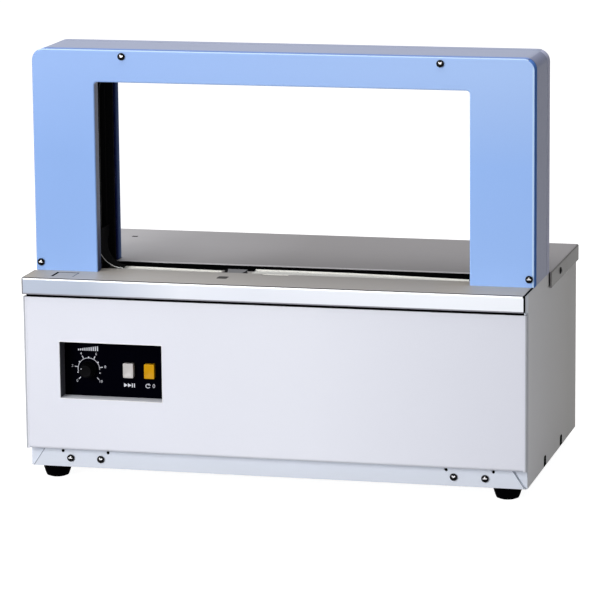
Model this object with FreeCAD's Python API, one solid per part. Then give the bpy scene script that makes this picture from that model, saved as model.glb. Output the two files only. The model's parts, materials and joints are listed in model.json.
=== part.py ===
"""Tabletop banknote strapping machine: a sheet-metal base with a split table, a square
arch that carries the paper tape round the pack, and the clamping head, tape feed and
drive inside the base.

Millimetres. X to the right, Y to the back, Z up. The origin is the middle of the
machine's outline on the surface that its feet stand on.
"""
import FreeCAD
import Part
import math
import os

V = FreeCAD.Vector

# ---- driving dimensions ----------------------------------------------------------
# table
table_width = 618.6
table_depth = 357.0
table_height = 251.0
table_sheet = 2.0
rim_height = 20.0
rim_bend = 2.5
table_overhang = 2.5
# feet and base tray
foot_height = 16.0
foot_top_diameter = 37.0
foot_bottom_diameter = 30.0
foot_edge_radius = 5.0
foot_end_inset = 29.3
foot_spacing_x = table_width - 2 * foot_end_inset
foot_inset = 35.0
tray_sheet = 2.0
plinth_height = 22.0
plinth_setback = 15.0
plinth_trim = 16.0
# body panels
side_overhang = 2.3
body_width = table_width - 2 * side_overhang
panel_sheet = 1.5
cover_setback = 2.5
cover_bottom_height = 24.0
cover_top_gap = 3.5
cover_corner_radius = 3.5
cover_return = 14.0
side_slot_height = 13.5
side_slot_width = 16.0
side_slot_round = 4.0
side_slot_pitch = 112.0
side_slot_setback = 134.0
side_screw_setback = 133.5
arm_lead = 28.0
rear_panel_inset = 3.5
# fixing tabs of the front cover
tab_width = 57.0
tab_end_inset = 69.5
tab_spacing = body_width - 2 * tab_end_inset
tab_screw_pitch = 38.0
# tape line, which the arch and the slot are set out from
tape_setback = 116.5
tape_width = 20.0
# arch
arch_side_step = 1.5
arch_width = table_width - 2 * arch_side_step
arch_front_reach = 62.0
arch_rear_reach = 39.0
arch_depth = arch_front_reach + arch_rear_reach
arch_setback = tape_setback - arch_front_reach
beam_height = 39.0
opening_width = 460.0
opening_height = 232.0
arch_corner_radius = 14.5
opening_corner_radius = 4.0
arch_sheet = 1.5
arch_front_flange = 15.0
arch_rear_flange = 18.0
arch_edge_radius = 1.6
arch_screw_x = 195.0
arch_screw_drop = 7.5
arch_foot_screw_inset = 6.8
arch_foot_screw_x = arch_width / 2 - arch_foot_screw_inset
arch_foot_screw_height = 10.0
# tape guides
track_depth = 20.0
track_sheet = 1.5
track_turn_radius = 40.0
left_guide_radius = 32.0
right_guide_radius = 14.0
guide_front_reach = 35.0
guide_rear_reach = 12.0
guide_rise = 14.0
# slot between the two tables
slot_front_reach = 36.5
slot_rear_reach = 15.0
slot_setback = tape_setback - slot_front_reach
slot_width = slot_front_reach + slot_rear_reach
slot_strip_width = 23.0
# control recess
window_inset = 43.0
window_width = 128.0
window_bottom = 104.0
window_height = 69.5
recess_depth = 20.0
control_plate_sheet = 2.0
knob_inset = 30.3
control_drop = 0.75
knob_drop = 1.0
knob_diameter = 20.0
knob_length = 14.0
button_width = 13.0
button_height = 18.0
button_proud = 6.0
button_travel = 2.5
button_pitch = 26.5
reset_button_inset = 20.0
# clamping head
head_x = -68.0
clamp_pitch = 30.0
clamp_width = 12.0
clamp_depth = 16.0
clamp_lift = 6.0
camshaft_height = 100.0
camshaft_diameter = 12.0
cam_base_radius = 20.0
cam_width = 12.0
cam_stroke_angle = 120.0
stand_sheet = 8.0
stand_depth = 66.0
block_height = 52.0
anvil_front_left = 6.2
anvil_front_right = 8.0
anvil_back_left = 14.3
anvil_back_right = 10.4
anvil_length = 37.0
anvil_stroke = 23.0
# camshaft drive
cam_pulley_diameter = 48.0
motor_pulley_diameter = 24.0
pulley_width = 12.0
belt_thickness = 2.0
motor_offset = 87.0
motor_drop = 28.0
motor_diameter = 60.0
motor_length = 90.0
# tape feed
feed_offset = 108.0
feed_drop = 43.0
feed_roller_diameter = 30.0
pinch_roller_diameter = 20.0
roller_width = 22.0
tape_nip = 0.4
# tape reel
reel_inset = 132.0
reel_rise = 107.0
roll_diameter = 160.0
core_diameter = 40.0
reel_flange_diameter = 170.0
reel_stud_diameter = 16.0
# running and seating clearances
running_gap = 0.05
seat_gap = 0.3

# ---- derived places --------------------------------------------------------------
front = -table_depth / 2
back = table_depth / 2
tape_line = front + tape_setback
base_bottom = foot_height
tray_floor = base_bottom + tray_sheet
table_under = table_height - table_sheet
rim_bottom = table_height - rim_height
body_half = body_width / 2
table_half = table_width / 2
cover_front = front + cover_setback
cover_bottom = base_bottom + cover_bottom_height
cover_top = rim_bottom - cover_top_gap
plinth_front = front + plinth_setback
side_front = plinth_front + tray_sheet
rear_panel_back = back - rear_panel_inset
rear_panel_front = rear_panel_back - panel_sheet
arch_front = front + arch_setback
arch_back = arch_front + arch_depth
arch_top = table_height + opening_height + beam_height
opening_half = opening_width / 2
opening_top = table_height + opening_height
slot_front = front + slot_setback
slot_back = slot_front + slot_width
track_front = arch_front + arch_front_flange
track_back = arch_back - arch_rear_flange
plate_front = cover_front + recess_depth
plate_back = plate_front + control_plate_sheet
window_left = -body_half + window_inset
knob_x = window_left + knob_inset
button_z = window_bottom + window_height / 2 - control_drop
knob_z = button_z - knob_drop
reset_button_x = window_left + window_width - reset_button_inset
feed_button_x = reset_button_x - button_pitch
side_slot_place = front + side_slot_setback
arm_start = slot_front - arm_lead
motor_y = tape_line + motor_offset
motor_z = camshaft_height - motor_drop
feed_x = head_x + feed_offset
feed_z = table_height - feed_drop
reel_x = body_half - reel_inset
reel_z = tray_floor + reel_rise


# ---- shape helpers ---------------------------------------------------------------
def block(x0, x1, y0, y1, z0, z1):
    """Box between two corners."""
    return Part.makeBox(x1 - x0, y1 - y0, z1 - z0, V(x0, y0, z0))


def rod(radius, start, end):
    """Cylinder from one point to another."""
    axis = V(*end) - V(*start)
    return Part.makeCylinder(radius, axis.Length, V(*start), axis)


def ring(outer, inner, start, end):
    """Cylinder with a through bore."""
    axis = V(*end) - V(*start)
    bore = Part.makeCylinder(inner, axis.Length + 2, V(*start) - axis.normalize(), axis)
    return rod(outer, start, end).cut(bore)


def rounded_wire(points, place):
    """Closed outline through corners (u, v, radius); each corner is a tangent arc."""
    corners = [(V(u, v, 0), r) for u, v, r in points]
    starts = []
    ends = []
    middles = []
    count = len(corners)
    for i, (corner, radius) in enumerate(corners):
        before = (corners[i - 1][0] - corner).normalize()
        after = (corners[(i + 1) % count][0] - corner).normalize()
        if radius <= 0:
            starts.append(corner)
            ends.append(corner)
            middles.append(None)
            continue
        half = math.acos(max(-1.0, min(1.0, before.dot(after)))) / 2
        run = radius / math.tan(half)
        bisector = (before + after).normalize()
        centre = corner + bisector * (radius / math.sin(half))
        starts.append(corner + before * run)
        ends.append(corner + after * run)
        middles.append(centre - bisector * radius)
    edges = []
    for i in range(count):
        if middles[i] is not None:
            arc = Part.Arc(place(starts[i]), place(middles[i]), place(ends[i]))
            edges.append(arc.toShape())
        following = starts[(i + 1) % count]
        if (following - ends[i]).Length > 1e-6:
            edges.append(Part.LineSegment(place(ends[i]), place(following)).toShape())
    return Part.Wire(edges)


def prism_y(points, y0, y1):
    """Outline in X and Z carried along Y."""
    wire = rounded_wire(points, lambda p: V(p.x, y0, p.y))
    return Part.Face(wire).extrude(V(0, y1 - y0, 0))


def prism_x(points, x0, x1):
    """Outline in Y and Z carried along X."""
    wire = rounded_wire(points, lambda p: V(x0, p.x, p.y))
    return Part.Face(wire).extrude(V(x1 - x0, 0, 0))


def prism_z(points, z0, z1):
    """Outline in X and Y carried along Z."""
    wire = rounded_wire(points, lambda p: V(p.x, p.y, z0))
    return Part.Face(wire).extrude(V(0, 0, z1 - z0))


def turned(profile, start, axis):
    """Closed profile of (radius, height) corners turned round an axis from a point."""
    points = [V(r, 0, h) for r, h in profile]
    face = Part.Face(Part.makePolygon(points + points[:1]))
    solid = face.revolve(V(0, 0, 0), V(0, 0, 1), 360)
    turn = FreeCAD.Rotation(V(0, 0, 1), V(*axis))
    solid.Placement = FreeCAD.Placement(V(*start), turn)
    return solid


def round_edges(shape, radius, chosen):
    """Fillet the edges whose middle and direction the test accepts."""
    edges = []
    for edge in shape.Edges:
        middle = edge.CenterOfMass
        run = edge.Vertexes[-1].Point - edge.Vertexes[0].Point
        if run.Length > 1e-6 and chosen(middle, run.normalize()):
            edges.append(edge)
    return shape.makeFillet(radius, edges)


def mirrored(shape):
    """The same piece on the other side of the machine."""
    return shape.mirror(V(0, 0, 0), V(1, 0, 0))


def group(pieces):
    """Separate solids kept together in one file."""
    return Part.makeCompound(pieces)


def near(a, b):
    """True when two lengths are the same."""
    return abs(a - b) < 1e-3


# ---- fasteners -------------------------------------------------------------------
def pan_screw(place, axis, head_diameter, head_height, shank_diameter, length):
    """Pan-head screw seated at a point, with its head out along the axis."""
    rim = head_diameter / 2
    shank = shank_diameter / 2
    profile = [(0, -length), (shank, -length), (shank, 0), (rim, 0), (rim, head_height * 0.45),
               (rim * 0.6, head_height), (0, head_height)]
    return turned(profile, place, axis)


def hex_nut(place, axis, flats, height, bore):
    """Hexagonal nut standing at a point."""
    corner = flats / math.sqrt(3)
    points = [V(corner * math.cos(math.radians(a)), corner * math.sin(math.radians(a)), 0)
              for a in range(0, 360, 60)]
    solid = Part.Face(Part.makePolygon(points + points[:1])).extrude(V(0, 0, height))
    solid = solid.cut(rod(bore, (0, 0, -1), (0, 0, height + 1)))
    turn = FreeCAD.Rotation(V(0, 0, 1), V(*axis))
    solid.Placement = FreeCAD.Placement(V(*place), turn)
    return solid


# screw sizes used all over the machine
m4_head = 8.4
m4_head_height = 3.0
m4_shank = 4.0
m4_hole = 2.1
low_head_height = 2.2
m5_head = 9.2
m5_head_height = 3.6
m5_shank = 5.0
m5_hole = 2.65


# ---- base ------------------------------------------------------------------------
foot_places = [(sx * foot_spacing_x / 2, sy * (table_depth / 2 - foot_inset))
               for sx in (-1, 1) for sy in (-1, 1)]
foot_recess_depth = 8.0
foot_recess_radius = 6.0
tab_centres = [-tab_spacing / 2, tab_spacing / 2]
tab_screw_places = [c + s * tab_screw_pitch / 2 for c in tab_centres for s in (-1, 1)]
tab_screw_z = base_bottom + plinth_height * 0.5
tab_front = side_front + seat_gap
tab_relief = 3.2
fold_trim = 20.0
vent_count = 7
vent_pitch = 14.0
vent_length = 60.0
vent_width = 5.0
vent_setback = 113.5


def side_slots(depth):
    """Room of the two slots at the foot of each side, down to a depth behind the wall's face."""
    low = base_bottom - 1
    high = base_bottom + side_slot_height
    slots = []
    for place in (side_slot_place, side_slot_place + side_slot_pitch):
        slot = prism_x([(place - side_slot_width / 2, low, 0), (place + side_slot_width / 2, low, 0),
                        (place + side_slot_width / 2, high, side_slot_round),
                        (place - side_slot_width / 2, high, side_slot_round)],
                       -body_half - 1, -body_half + depth)
        slots += [slot, mirrored(slot)]
    return slots


def base_tray():
    """Shallow pan of folded sheet; the front and back flanges have sloping ends."""
    half = body_half - panel_sheet - seat_gap
    lip = tray_floor + plinth_height - tray_sheet
    floor = block(-half, half, plinth_front + tray_sheet, rear_panel_front, base_bottom, tray_floor)
    trim = plinth_trim
    flange = [(-half, base_bottom, 0), (half, base_bottom, 0), (half - trim, lip, 0), (-half + trim, lip, 0)]
    front_flange = prism_y(flange, plinth_front, side_front)
    back_flange = prism_y(flange, rear_panel_front - tray_sheet, rear_panel_front)
    side_start = side_front + panel_sheet + seat_gap
    left = block(-half, -half + tray_sheet, side_start, rear_panel_front - cover_return, base_bottom, lip)
    tray = floor.fuse([front_flange, back_flange, left, mirrored(left)])
    cuts = []
    for x, y in foot_places:
        cuts.append(rod(m5_hole, (x, y, base_bottom - 1), (x, y, tray_floor + 1)))
    for x in tab_screw_places:
        cuts.append(rod(m4_hole, (x, plinth_front - 1, tab_screw_z), (x, side_front + 1, tab_screw_z)))
    for centre in tab_centres:
        for side in (-1, 1):
            x = centre + side * tab_width / 2
            cuts.append(block(x - tab_relief / 2, x + tab_relief / 2, plinth_front - 1, side_front + 1,
                              lip - tab_relief, lip + 1))
    cuts += side_slots(tray_sheet + panel_sheet + 2 * seat_gap)
    y0 = rear_panel_front - vent_setback
    for i in range(vent_count):
        x = reel_x + (i - vent_count // 2) * vent_pitch
        cuts.append(block(x, x + vent_width, y0, y0 + vent_length, base_bottom - 1, tray_floor + 1))
    return tray.cut(cuts).removeSplitter()


def rubber_feet():
    """Four turned rubber feet, each with a recess for its screw."""
    top = foot_top_diameter / 2
    low = foot_bottom_diameter / 2
    edge = foot_edge_radius
    feet = []
    for x, y in foot_places:
        arc = [(low - edge + edge * math.sin(a), edge - edge * math.cos(a))
               for a in [math.radians(d) for d in (0, 45, 90)]]
        hole = m5_hole
        profile = [(foot_recess_radius, 0)] + arc + [(top, foot_height), (hole, foot_height),
                                                     (hole, foot_recess_depth),
                                                     (foot_recess_radius, foot_recess_depth)]
        feet.append(turned(profile, (x, y, 0), (0, 0, 1)))
    return group(feet)


def foot_screws():
    """A screw up through each foot and the tray, with its nut on the tray floor."""
    length = tray_floor + 6.0 - foot_recess_depth
    pieces = []
    for x, y in foot_places:
        pieces.append(pan_screw((x, y, foot_recess_depth), (0, 0, -1), m5_head, m5_head_height,
                                m5_shank, length))
        pieces.append(hex_nut((x, y, tray_floor), (0, 0, 1), 8.0, 4.0, m5_shank / 2))
    return group(pieces)


def front_cover():
    """Front panel folded round the corners; two tabs drop behind the tray's front flange."""
    t = panel_sheet
    r = cover_corner_radius
    y1 = cover_front + cover_return
    outer = block(-body_half, body_half, cover_front, y1, cover_bottom, cover_top)
    outer = round_edges(outer, r, lambda m, d: (near(abs(d.z), 1) and near(m.y, cover_front))
                        or (near(m.z, cover_bottom)
                            and (near(m.y, cover_front) or near(abs(m.x), body_half))))
    inner = block(-body_half + t, body_half - t, cover_front + t, y1 + 5, cover_bottom + t, cover_top + 5)
    inner = round_edges(inner, r - t, lambda m, d: near(abs(d.z), 1) and near(m.y, cover_front + t))
    window = block(window_left, window_left + window_width, cover_front - 1, cover_front + t + 1,
                   window_bottom, window_bottom + window_height)
    cover = outer.cut([inner, window])
    top_lip = block(-body_half + fold_trim, body_half - fold_trim,
                    cover_front + t / 2, cover_front + cover_return, cover_top - t, cover_top)
    cover = cover.fuse(top_lip)
    for centre in tab_centres:
        half = tab_width / 2
        bridge = block(centre - half, centre + half, y1 - 1, tab_front + t, cover_bottom, cover_bottom + t)
        tab = block(centre - half, centre + half, tab_front, tab_front + t,
                    tray_floor + 2, cover_bottom + t)
        cover = cover.fuse([bridge, tab])
    holes = [rod(m4_hole, (x, tab_front - 1, tab_screw_z), (x, tab_front + t + 1, tab_screw_z))
             for x in tab_screw_places]
    return cover.cut(holes).removeSplitter()


arm_end = arch_back - 1.5
flange_start = arch_back + 6.0


def side_panel(raised_from):
    """Left side wall: folded in at the front, raised under the arch, slotted at the foot."""
    t = panel_sheet
    top_arm = table_height - 0.5
    top_rear = rim_bottom + 2.0
    outline = [(side_front, base_bottom, 0), (rear_panel_front, base_bottom, 0),
               (rear_panel_front, top_rear, 0), (arm_end, top_rear, 0), (arm_end, top_arm, 0)]
    if raised_from < side_front:
        outline += [(raised_from, top_arm, 0), (raised_from, cover_top + 1.0, 0),
                    (side_front, cover_top + 1.0, 0)]
    else:
        outline += [(raised_from, top_arm, 0), (raised_from, table_under - 1.0, 0),
                    (side_front, table_under - 1.0, 0)]
    wall = prism_x(outline, -body_half, -body_half + t)
    fold = block(-body_half, -body_half + plinth_trim + 2, side_front, side_front + t,
                 tray_floor, cover_bottom + 10)
    back_fold = block(-body_half, -body_half + cover_return, rear_panel_front - t, rear_panel_front,
                      base_bottom + plinth_height + 1, top_rear - 6)
    panel = wall.fuse([fold, back_fold])
    return panel.cut(side_slots(t + 1)).removeSplitter()


def left_side_panel():
    """Left wall; its raised part starts behind the front table's end flange."""
    return side_panel(arm_start)


def right_side_panel():
    """Right wall; its raised part runs forward to the table's front."""
    return mirrored(side_panel(front + 1.0))


# ---- rear panel and what it carries ------------------------------------------------
fan_inset = 102.0
fan_x = body_half - fan_inset
fan_z = 140.0
fan_size = 80.0
fan_thickness = 25.0
fan_bore_radius = fan_size / 2 - 2.5
fan_hole_reach = fan_size / 2 - 4.25
inlet_inset = 72.0
inlet_x = -body_half + inlet_inset
inlet_z = 72.0
inlet_width = 27.5
inlet_height = 20.0
rocker_pitch = 50.0
rocker_x = inlet_x + rocker_pitch
rocker_width = 13.0
rocker_height = 19.0
rocker_tilt = 7.0
rocker_pivot_depth = 4.0
rocker_pivot_y = rear_panel_back - rocker_pivot_depth
rear_fold = 12.0
rear_screw_drop = 21.0
rear_screw_inset = 16.0
rear_screw_z = rim_bottom - rear_screw_drop
rear_screw_x = [rear_screw_inset - body_half, 0.0, body_half - rear_screw_inset]
louvre_count = 8
louvre_pitch = 12.0
louvre_width = 130.0
louvre_height = 5.0
louvre_left = -90.0
louvre_drop = 37.0


def rear_cover():
    """Back wall with louvre slots, the fan grille and openings for inlet and switch."""
    t = panel_sheet
    half = body_half - 2.0
    top = rim_bottom + 2.0
    sheet = block(-half, half, rear_panel_front, rear_panel_back, base_bottom + 2, top)
    top_fold = block(-half + fold_trim, half - fold_trim, rear_panel_front - rear_fold,
                     rear_panel_front + t / 2, top - t, top)
    panel = sheet.fuse(top_fold)
    y0 = rear_panel_front - 1
    y1 = rear_panel_back + 1
    cuts = []
    bars = 9
    pitch = 2 * fan_bore_radius / bars
    for i in range(bars):
        z = fan_z - fan_bore_radius + (i + 0.5) * pitch
        reach = math.sqrt(max(fan_bore_radius ** 2 - (z - fan_z) ** 2, 1.0)) - 2.0
        width = pitch * 0.28
        cuts.append(block(fan_x - reach, fan_x + reach, y0, y1, z - width, z + width))
    for row in range(louvre_count):
        z = rim_bottom - louvre_drop - row * louvre_pitch
        cuts.append(block(louvre_left, louvre_left + louvre_width, y0, y1, z, z + louvre_height))
    cuts.append(block(inlet_x - inlet_width / 2, inlet_x + inlet_width / 2, y0, y1,
                      inlet_z - inlet_height / 2, inlet_z + inlet_height / 2))
    cuts.append(block(rocker_x - rocker_width / 2 - 2, rocker_x + rocker_width / 2 + 2, y0, y1,
                      inlet_z - rocker_height / 2 - 3.5, inlet_z + rocker_height / 2 + 3.5))
    for x in rear_screw_x:
        cuts.append(rod(m4_hole, (x, y0, rear_screw_z), (x, y1, rear_screw_z)))
    for sx in (-1, 1):
        for sz in (-1, 1):
            x = fan_x + sx * fan_hole_reach
            z = fan_z + sz * fan_hole_reach
            cuts.append(rod(m4_hole, (x, y0, z), (x, y1, z)))
    return panel.cut(cuts).removeSplitter()


def inlet_shroud():
    """Three-pin appliance inlet in its flanged shroud."""
    half_w = inlet_width / 2 - seat_gap
    half_h = inlet_height / 2 - seat_gap
    y_out = rear_panel_back + 2.0
    flange = prism_y([(inlet_x - 24, inlet_z - 11.5, 3), (inlet_x + 24, inlet_z - 11.5, 3),
                      (inlet_x + 24, inlet_z + 11.5, 3), (inlet_x - 24, inlet_z + 11.5, 3)],
                     rear_panel_back, y_out)
    body = block(inlet_x - half_w, inlet_x + half_w, rear_panel_front - 24, rear_panel_back + 0.5,
                 inlet_z - half_h, inlet_z + half_h)
    shape = flange.fuse(body)
    mouth_w = half_w - 1.8
    mouth_h = half_h - 1.8
    mouth = prism_y([(inlet_x - mouth_w, inlet_z - mouth_h, 2), (inlet_x + mouth_w, inlet_z - mouth_h, 2),
                     (inlet_x + mouth_w, inlet_z + mouth_h, 5), (inlet_x - mouth_w, inlet_z + mouth_h, 5)],
                    y_out - 17, y_out + 1)
    shape = shape.cut(mouth)
    pins = [block(inlet_x + dx - 1, inlet_x + dx + 1, y_out - 18, y_out - 3,
                  inlet_z + dz - 2, inlet_z + dz + 2) for dx, dz in ((-7, -2), (7, -2), (0, 2))]
    return shape.fuse(pins).removeSplitter()


def switch_housing():
    """Frame and cavity that the rocker tilts in."""
    half_w = rocker_width / 2
    half_h = rocker_height / 2
    y_out = rear_panel_back + 1.6
    frame = block(rocker_x - half_w - 4, rocker_x + half_w + 4, rear_panel_back, y_out,
                  inlet_z - half_h - 5, inlet_z + half_h + 5)
    body = block(rocker_x - half_w - 1.7, rocker_x + half_w + 1.7,
                 rear_panel_front - 18, rear_panel_back + 0.5, inlet_z - half_h - 3, inlet_z + half_h + 3)
    cavity = block(rocker_x - half_w - 0.2, rocker_x + half_w + 0.2, rear_panel_front - 10, y_out + 1,
                   inlet_z - half_h - 1.6, inlet_z + half_h + 1.6)
    pivot = rod(1.5, (rocker_x - half_w - 1.2, rocker_pivot_y, inlet_z),
                (rocker_x + half_w + 1.2, rocker_pivot_y, inlet_z))
    return frame.fuse(body).cut(cavity).fuse(pivot).removeSplitter()


def inlet_and_switch():
    """Appliance inlet and the frame of the mains switch beside it."""
    return group([inlet_shroud(), switch_housing()])


def power_rocker():
    """Two-way rocker on its pivot, resting tilted to its off side."""
    half_h = rocker_height / 2
    outline = [(rocker_pivot_y - 4.0, inlet_z - 6.0, 1), (rocker_pivot_y + 6.0, inlet_z - half_h, 0.8),
               (rocker_pivot_y + 4.4, inlet_z, 0), (rocker_pivot_y + 6.0, inlet_z + half_h, 0.8),
               (rocker_pivot_y - 4.0, inlet_z + 6.0, 1)]
    solid = prism_x(outline, rocker_x - rocker_width / 2, rocker_x + rocker_width / 2)
    bore = rod(1.5 + running_gap, (rocker_x - rocker_width, rocker_pivot_y, inlet_z),
               (rocker_x + rocker_width, rocker_pivot_y, inlet_z))
    solid = solid.cut(bore)
    solid.rotate(V(rocker_x, rocker_pivot_y, inlet_z), V(1, 0, 0), -rocker_tilt)
    return solid


def fan_frame():
    """Square fan frame with its round duct, hub plate and four struts."""
    half = fan_size / 2
    y1 = rear_panel_front
    y0 = y1 - fan_thickness
    body = block(fan_x - half, fan_x + half, y0, y1, fan_z - half, fan_z + half)
    duct = rod(fan_bore_radius, (fan_x, y0 - 1, fan_z), (fan_x, y1 + 1, fan_z))
    waist = []
    for sx, sz in ((1, 0), (-1, 0), (0, 1), (0, -1)):
        cx = fan_x + sx * (half + 1.0)
        cz = fan_z + sz * (half + 1.0)
        waist.append(block(cx - 26 if sz else cx - 2, cx + 26 if sz else cx + 2, y0 + 4, y1 - 4,
                           cz - 2 if sz else cz - 26, cz + 2 if sz else cz + 26))
    body = body.cut([duct] + waist)
    struts = [block(fan_x - 1.5, fan_x + 1.5, y0, y0 + 3, fan_z - fan_bore_radius - 1, fan_z - 15),
              block(fan_x - 1.5, fan_x + 1.5, y0, y0 + 3, fan_z + 15, fan_z + fan_bore_radius + 1),
              block(fan_x - fan_bore_radius - 1, fan_x - 15, y0, y0 + 3, fan_z - 1.5, fan_z + 1.5),
              block(fan_x + 15, fan_x + fan_bore_radius + 1, y0, y0 + 3, fan_z - 1.5, fan_z + 1.5)]
    hub = rod(16.5, (fan_x, y0, fan_z), (fan_x, y0 + 3, fan_z))
    pin = rod(2.0, (fan_x, y0 + 2, fan_z), (fan_x, y0 + 17, fan_z))
    holes = [rod(m4_hole, (fan_x + sx * fan_hole_reach, y0 - 1, fan_z + sz * fan_hole_reach),
                 (fan_x + sx * fan_hole_reach, y1 + 1, fan_z + sz * fan_hole_reach))
             for sx in (-1, 1) for sz in (-1, 1)]
    return body.fuse(struts + [hub, pin]).cut(holes).removeSplitter()


def fan_rotor():
    """Hub with seven pitched blades on the frame's pin."""
    y0 = rear_panel_front - fan_thickness + 4.0
    y1 = rear_panel_front - 3.0
    hub = rod(16.0, (fan_x, y0, fan_z), (fan_x, y1, fan_z))
    blades = []
    count = 7
    for i in range(count):
        blade = block(-1.0, 1.0, -10.0, 10.0, 14.0, fan_bore_radius + 5)
        blade.rotate(V(0, 0, 0), V(0, 0, 1), 38)
        blade.rotate(V(0, 0, 0), V(0, 1, 0), i * 360.0 / count)
        blade.translate(V(fan_x, (y0 + y1) / 2, fan_z))
        blades.append(blade)
    sweep = rod(fan_bore_radius - 1.2, (fan_x, y0, fan_z), (fan_x, y1, fan_z))
    rotor = hub.fuse(blades).common(sweep)
    bore = rod(2.0 + running_gap, (fan_x, y0 - 1, fan_z), (fan_x, y0 + 14, fan_z))
    return rotor.cut(bore).removeSplitter()


# ---- tables ------------------------------------------------------------------------
sensor_diameter = 11.0
sensor_x = head_x - 2.5
sensor_y = slot_front - 31.5
notch_depth = 10.0
notch_left = head_x + 38.0
notch_right = head_x + 71.0
tool_tab_inset = 33.1
tool_tab_size = 26.0
tool_tab_setback = 17.0
kerf = 1.6
wide_kerf = 2.8
dash_left = -table_half + 49.3
dash_length = 7.5
dash_width = 6.0
dash_inset = 52.5
front_table_right = body_half - panel_sheet - 0.8
strip_slant = 8.0
head_window_left = head_x - 14.0
head_window_right = head_x + 22.0
rear_side_screw_y = back - side_screw_setback
rear_side_screw_z = rim_bottom + rim_height / 2


def front_table():
    """Front plate with its folded rim, end flange, sensor hole, tool tab and finger notch."""
    t = table_sheet
    left = -table_half
    end_back = arm_start - seat_gap
    outer = block(left, front_table_right, front, slot_front, rim_bottom, table_height)
    outer = round_edges(outer, rim_bend, lambda m, d: near(m.z, table_height) and near(m.y, front))
    under = table_height - t
    inner = block(left + t, front_table_right + 5, front + t, slot_front + 5, rim_bottom - 5, under)
    inner = round_edges(inner, rim_bend - 1.5, lambda m, d: near(m.z, under) and near(m.y, front + t))
    trim = block(left - 1, left + t + 0.5, end_back, slot_front + 1, rim_bottom - 1, table_height - t)
    plate = outer.cut([inner, trim])
    step = block(left - 1, -body_half + panel_sheet + seat_gap, end_back, slot_front + 1,
                 under - 1, table_height + 1)
    plate = plate.cut(step)
    cuts = [rod(sensor_diameter / 2, (sensor_x, sensor_y, table_height - 5),
                (sensor_x, sensor_y, table_height + 1))]
    notch_front = slot_front - notch_depth
    cuts.append(prism_z([(notch_left, notch_front, 6), (notch_right, notch_front, 6),
                         (notch_right, slot_front + 2, 0), (notch_left, slot_front + 2, 0)],
                        table_height - 20, table_height + 1))
    tab_x0 = -table_half + tool_tab_inset
    tab_x1 = tab_x0 + tool_tab_size
    tab_y0 = front + tool_tab_setback
    tab_y1 = tab_y0 + tool_tab_size
    low = table_height - 5
    high = table_height + 1
    cuts.append(block(tab_x0 - wide_kerf / 2, tab_x0 + wide_kerf / 2, tab_y0, tab_y1, low, high))
    cuts.append(block(tab_x1 - kerf / 2, tab_x1 + kerf / 2, tab_y0, tab_y1, low, high))
    cuts.append(block(tab_x0 - wide_kerf / 2, tab_x1 + kerf / 2, tab_y1 - kerf / 2, tab_y1 + kerf / 2, low, high))
    return plate.cut(cuts).removeSplitter()


def rear_table():
    """Rear plate with flanges on three sides, notched round the arch legs."""
    t = table_sheet
    outer = block(-table_half, table_half, slot_back, back, rim_bottom, table_height)
    outer = round_edges(outer, rim_bend, lambda m, d: near(m.z, table_height)
                        and (near(abs(m.x), table_half) or near(m.y, back)))
    inner = block(-table_half + t, table_half - t, slot_back - 5, back - t, rim_bottom - 5, table_height - t)
    plate = outer.cut(inner)
    notch = opening_half - 1.0
    corner = block(-table_half - 1, -notch, slot_back - 1, arch_back + 1.0, rim_bottom - 5, table_height + 1)
    flange_trim = block(-table_half - 1, -table_half + t + 0.5, slot_back - 1, flange_start,
                        rim_bottom - 5, table_height - t)
    edge_trim = block(-table_half - 1, -body_half + panel_sheet, slot_back - 1, flange_start,
                      rim_bottom - 5, table_height + 1)
    slot_lip = block(-notch + 1, notch - 1, slot_back, slot_back + t,
                     table_height - 10.0, table_height - t / 2)
    plate = plate.fuse(slot_lip)
    cuts = []
    for piece in (corner, flange_trim, edge_trim):
        cuts.append(piece)
        cuts.append(mirrored(piece))
    cuts.append(block(dash_left, dash_left + dash_length, back - dash_inset - dash_width, back - dash_inset,
                      table_height - 5, table_height + 1))
    cuts.append(rod(m4_hole, (-table_half - 1, rear_side_screw_y, rear_side_screw_z),
                    (table_half + 1, rear_side_screw_y, rear_side_screw_z)))
    return plate.cut(cuts).removeSplitter()


def panel_screws():
    """Screws of the front cover's tabs, the back wall, the fan and the rear table's ends."""
    screws = [pan_screw((x, plinth_front, tab_screw_z), (0, -1, 0), m4_head,
                        m4_head_height, m4_shank, panel_sheet + tray_sheet + 4)
              for x in tab_screw_places]
    places = [(x, rear_screw_z) for x in rear_screw_x]
    places += [(fan_x + sx * fan_hole_reach, fan_z + sz * fan_hole_reach)
               for sx in (-1, 1) for sz in (-1, 1)]
    screws += [pan_screw((x, rear_panel_back, z), (0, 1, 0), m4_head, low_head_height, m4_shank, 9.0)
               for x, z in places]
    end = pan_screw((table_half, rear_side_screw_y, rear_side_screw_z), (1, 0, 0),
                    m4_head, low_head_height, m4_shank, 9.0)
    return group(screws + [end, mirrored(end)])


def table_rails():
    """Two angles inside the walls that the tables rest on and the side screws bite in."""
    x0 = -body_half + panel_sheet
    y0 = flange_start + 2.0
    y1 = rear_panel_front - 16.0
    upright = block(x0, x0 + 3, y0, y1, rim_bottom - 12, table_under)
    shelf = block(x0, x0 + 22, y0, y1, table_under - 3, table_under)
    hole = rod(m4_hole, (x0 - 1, rear_side_screw_y, rear_side_screw_z),
               (x0 + 8, rear_side_screw_y, rear_side_screw_z))
    rail = upright.fuse(shelf).cut(hole).removeSplitter()
    return group([rail, mirrored(rail)])


def start_sensor():
    """Round sensor that looks up through the front table."""
    lens = sensor_diameter / 2 - 0.2
    profile = [(0, -18), (lens + 1, -18), (lens + 1, -table_sheet), (lens, -table_sheet),
               (lens, -0.4), (0, -0.4)]
    return turned(profile, (sensor_x, sensor_y, table_height), (0, 0, 1))


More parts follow.
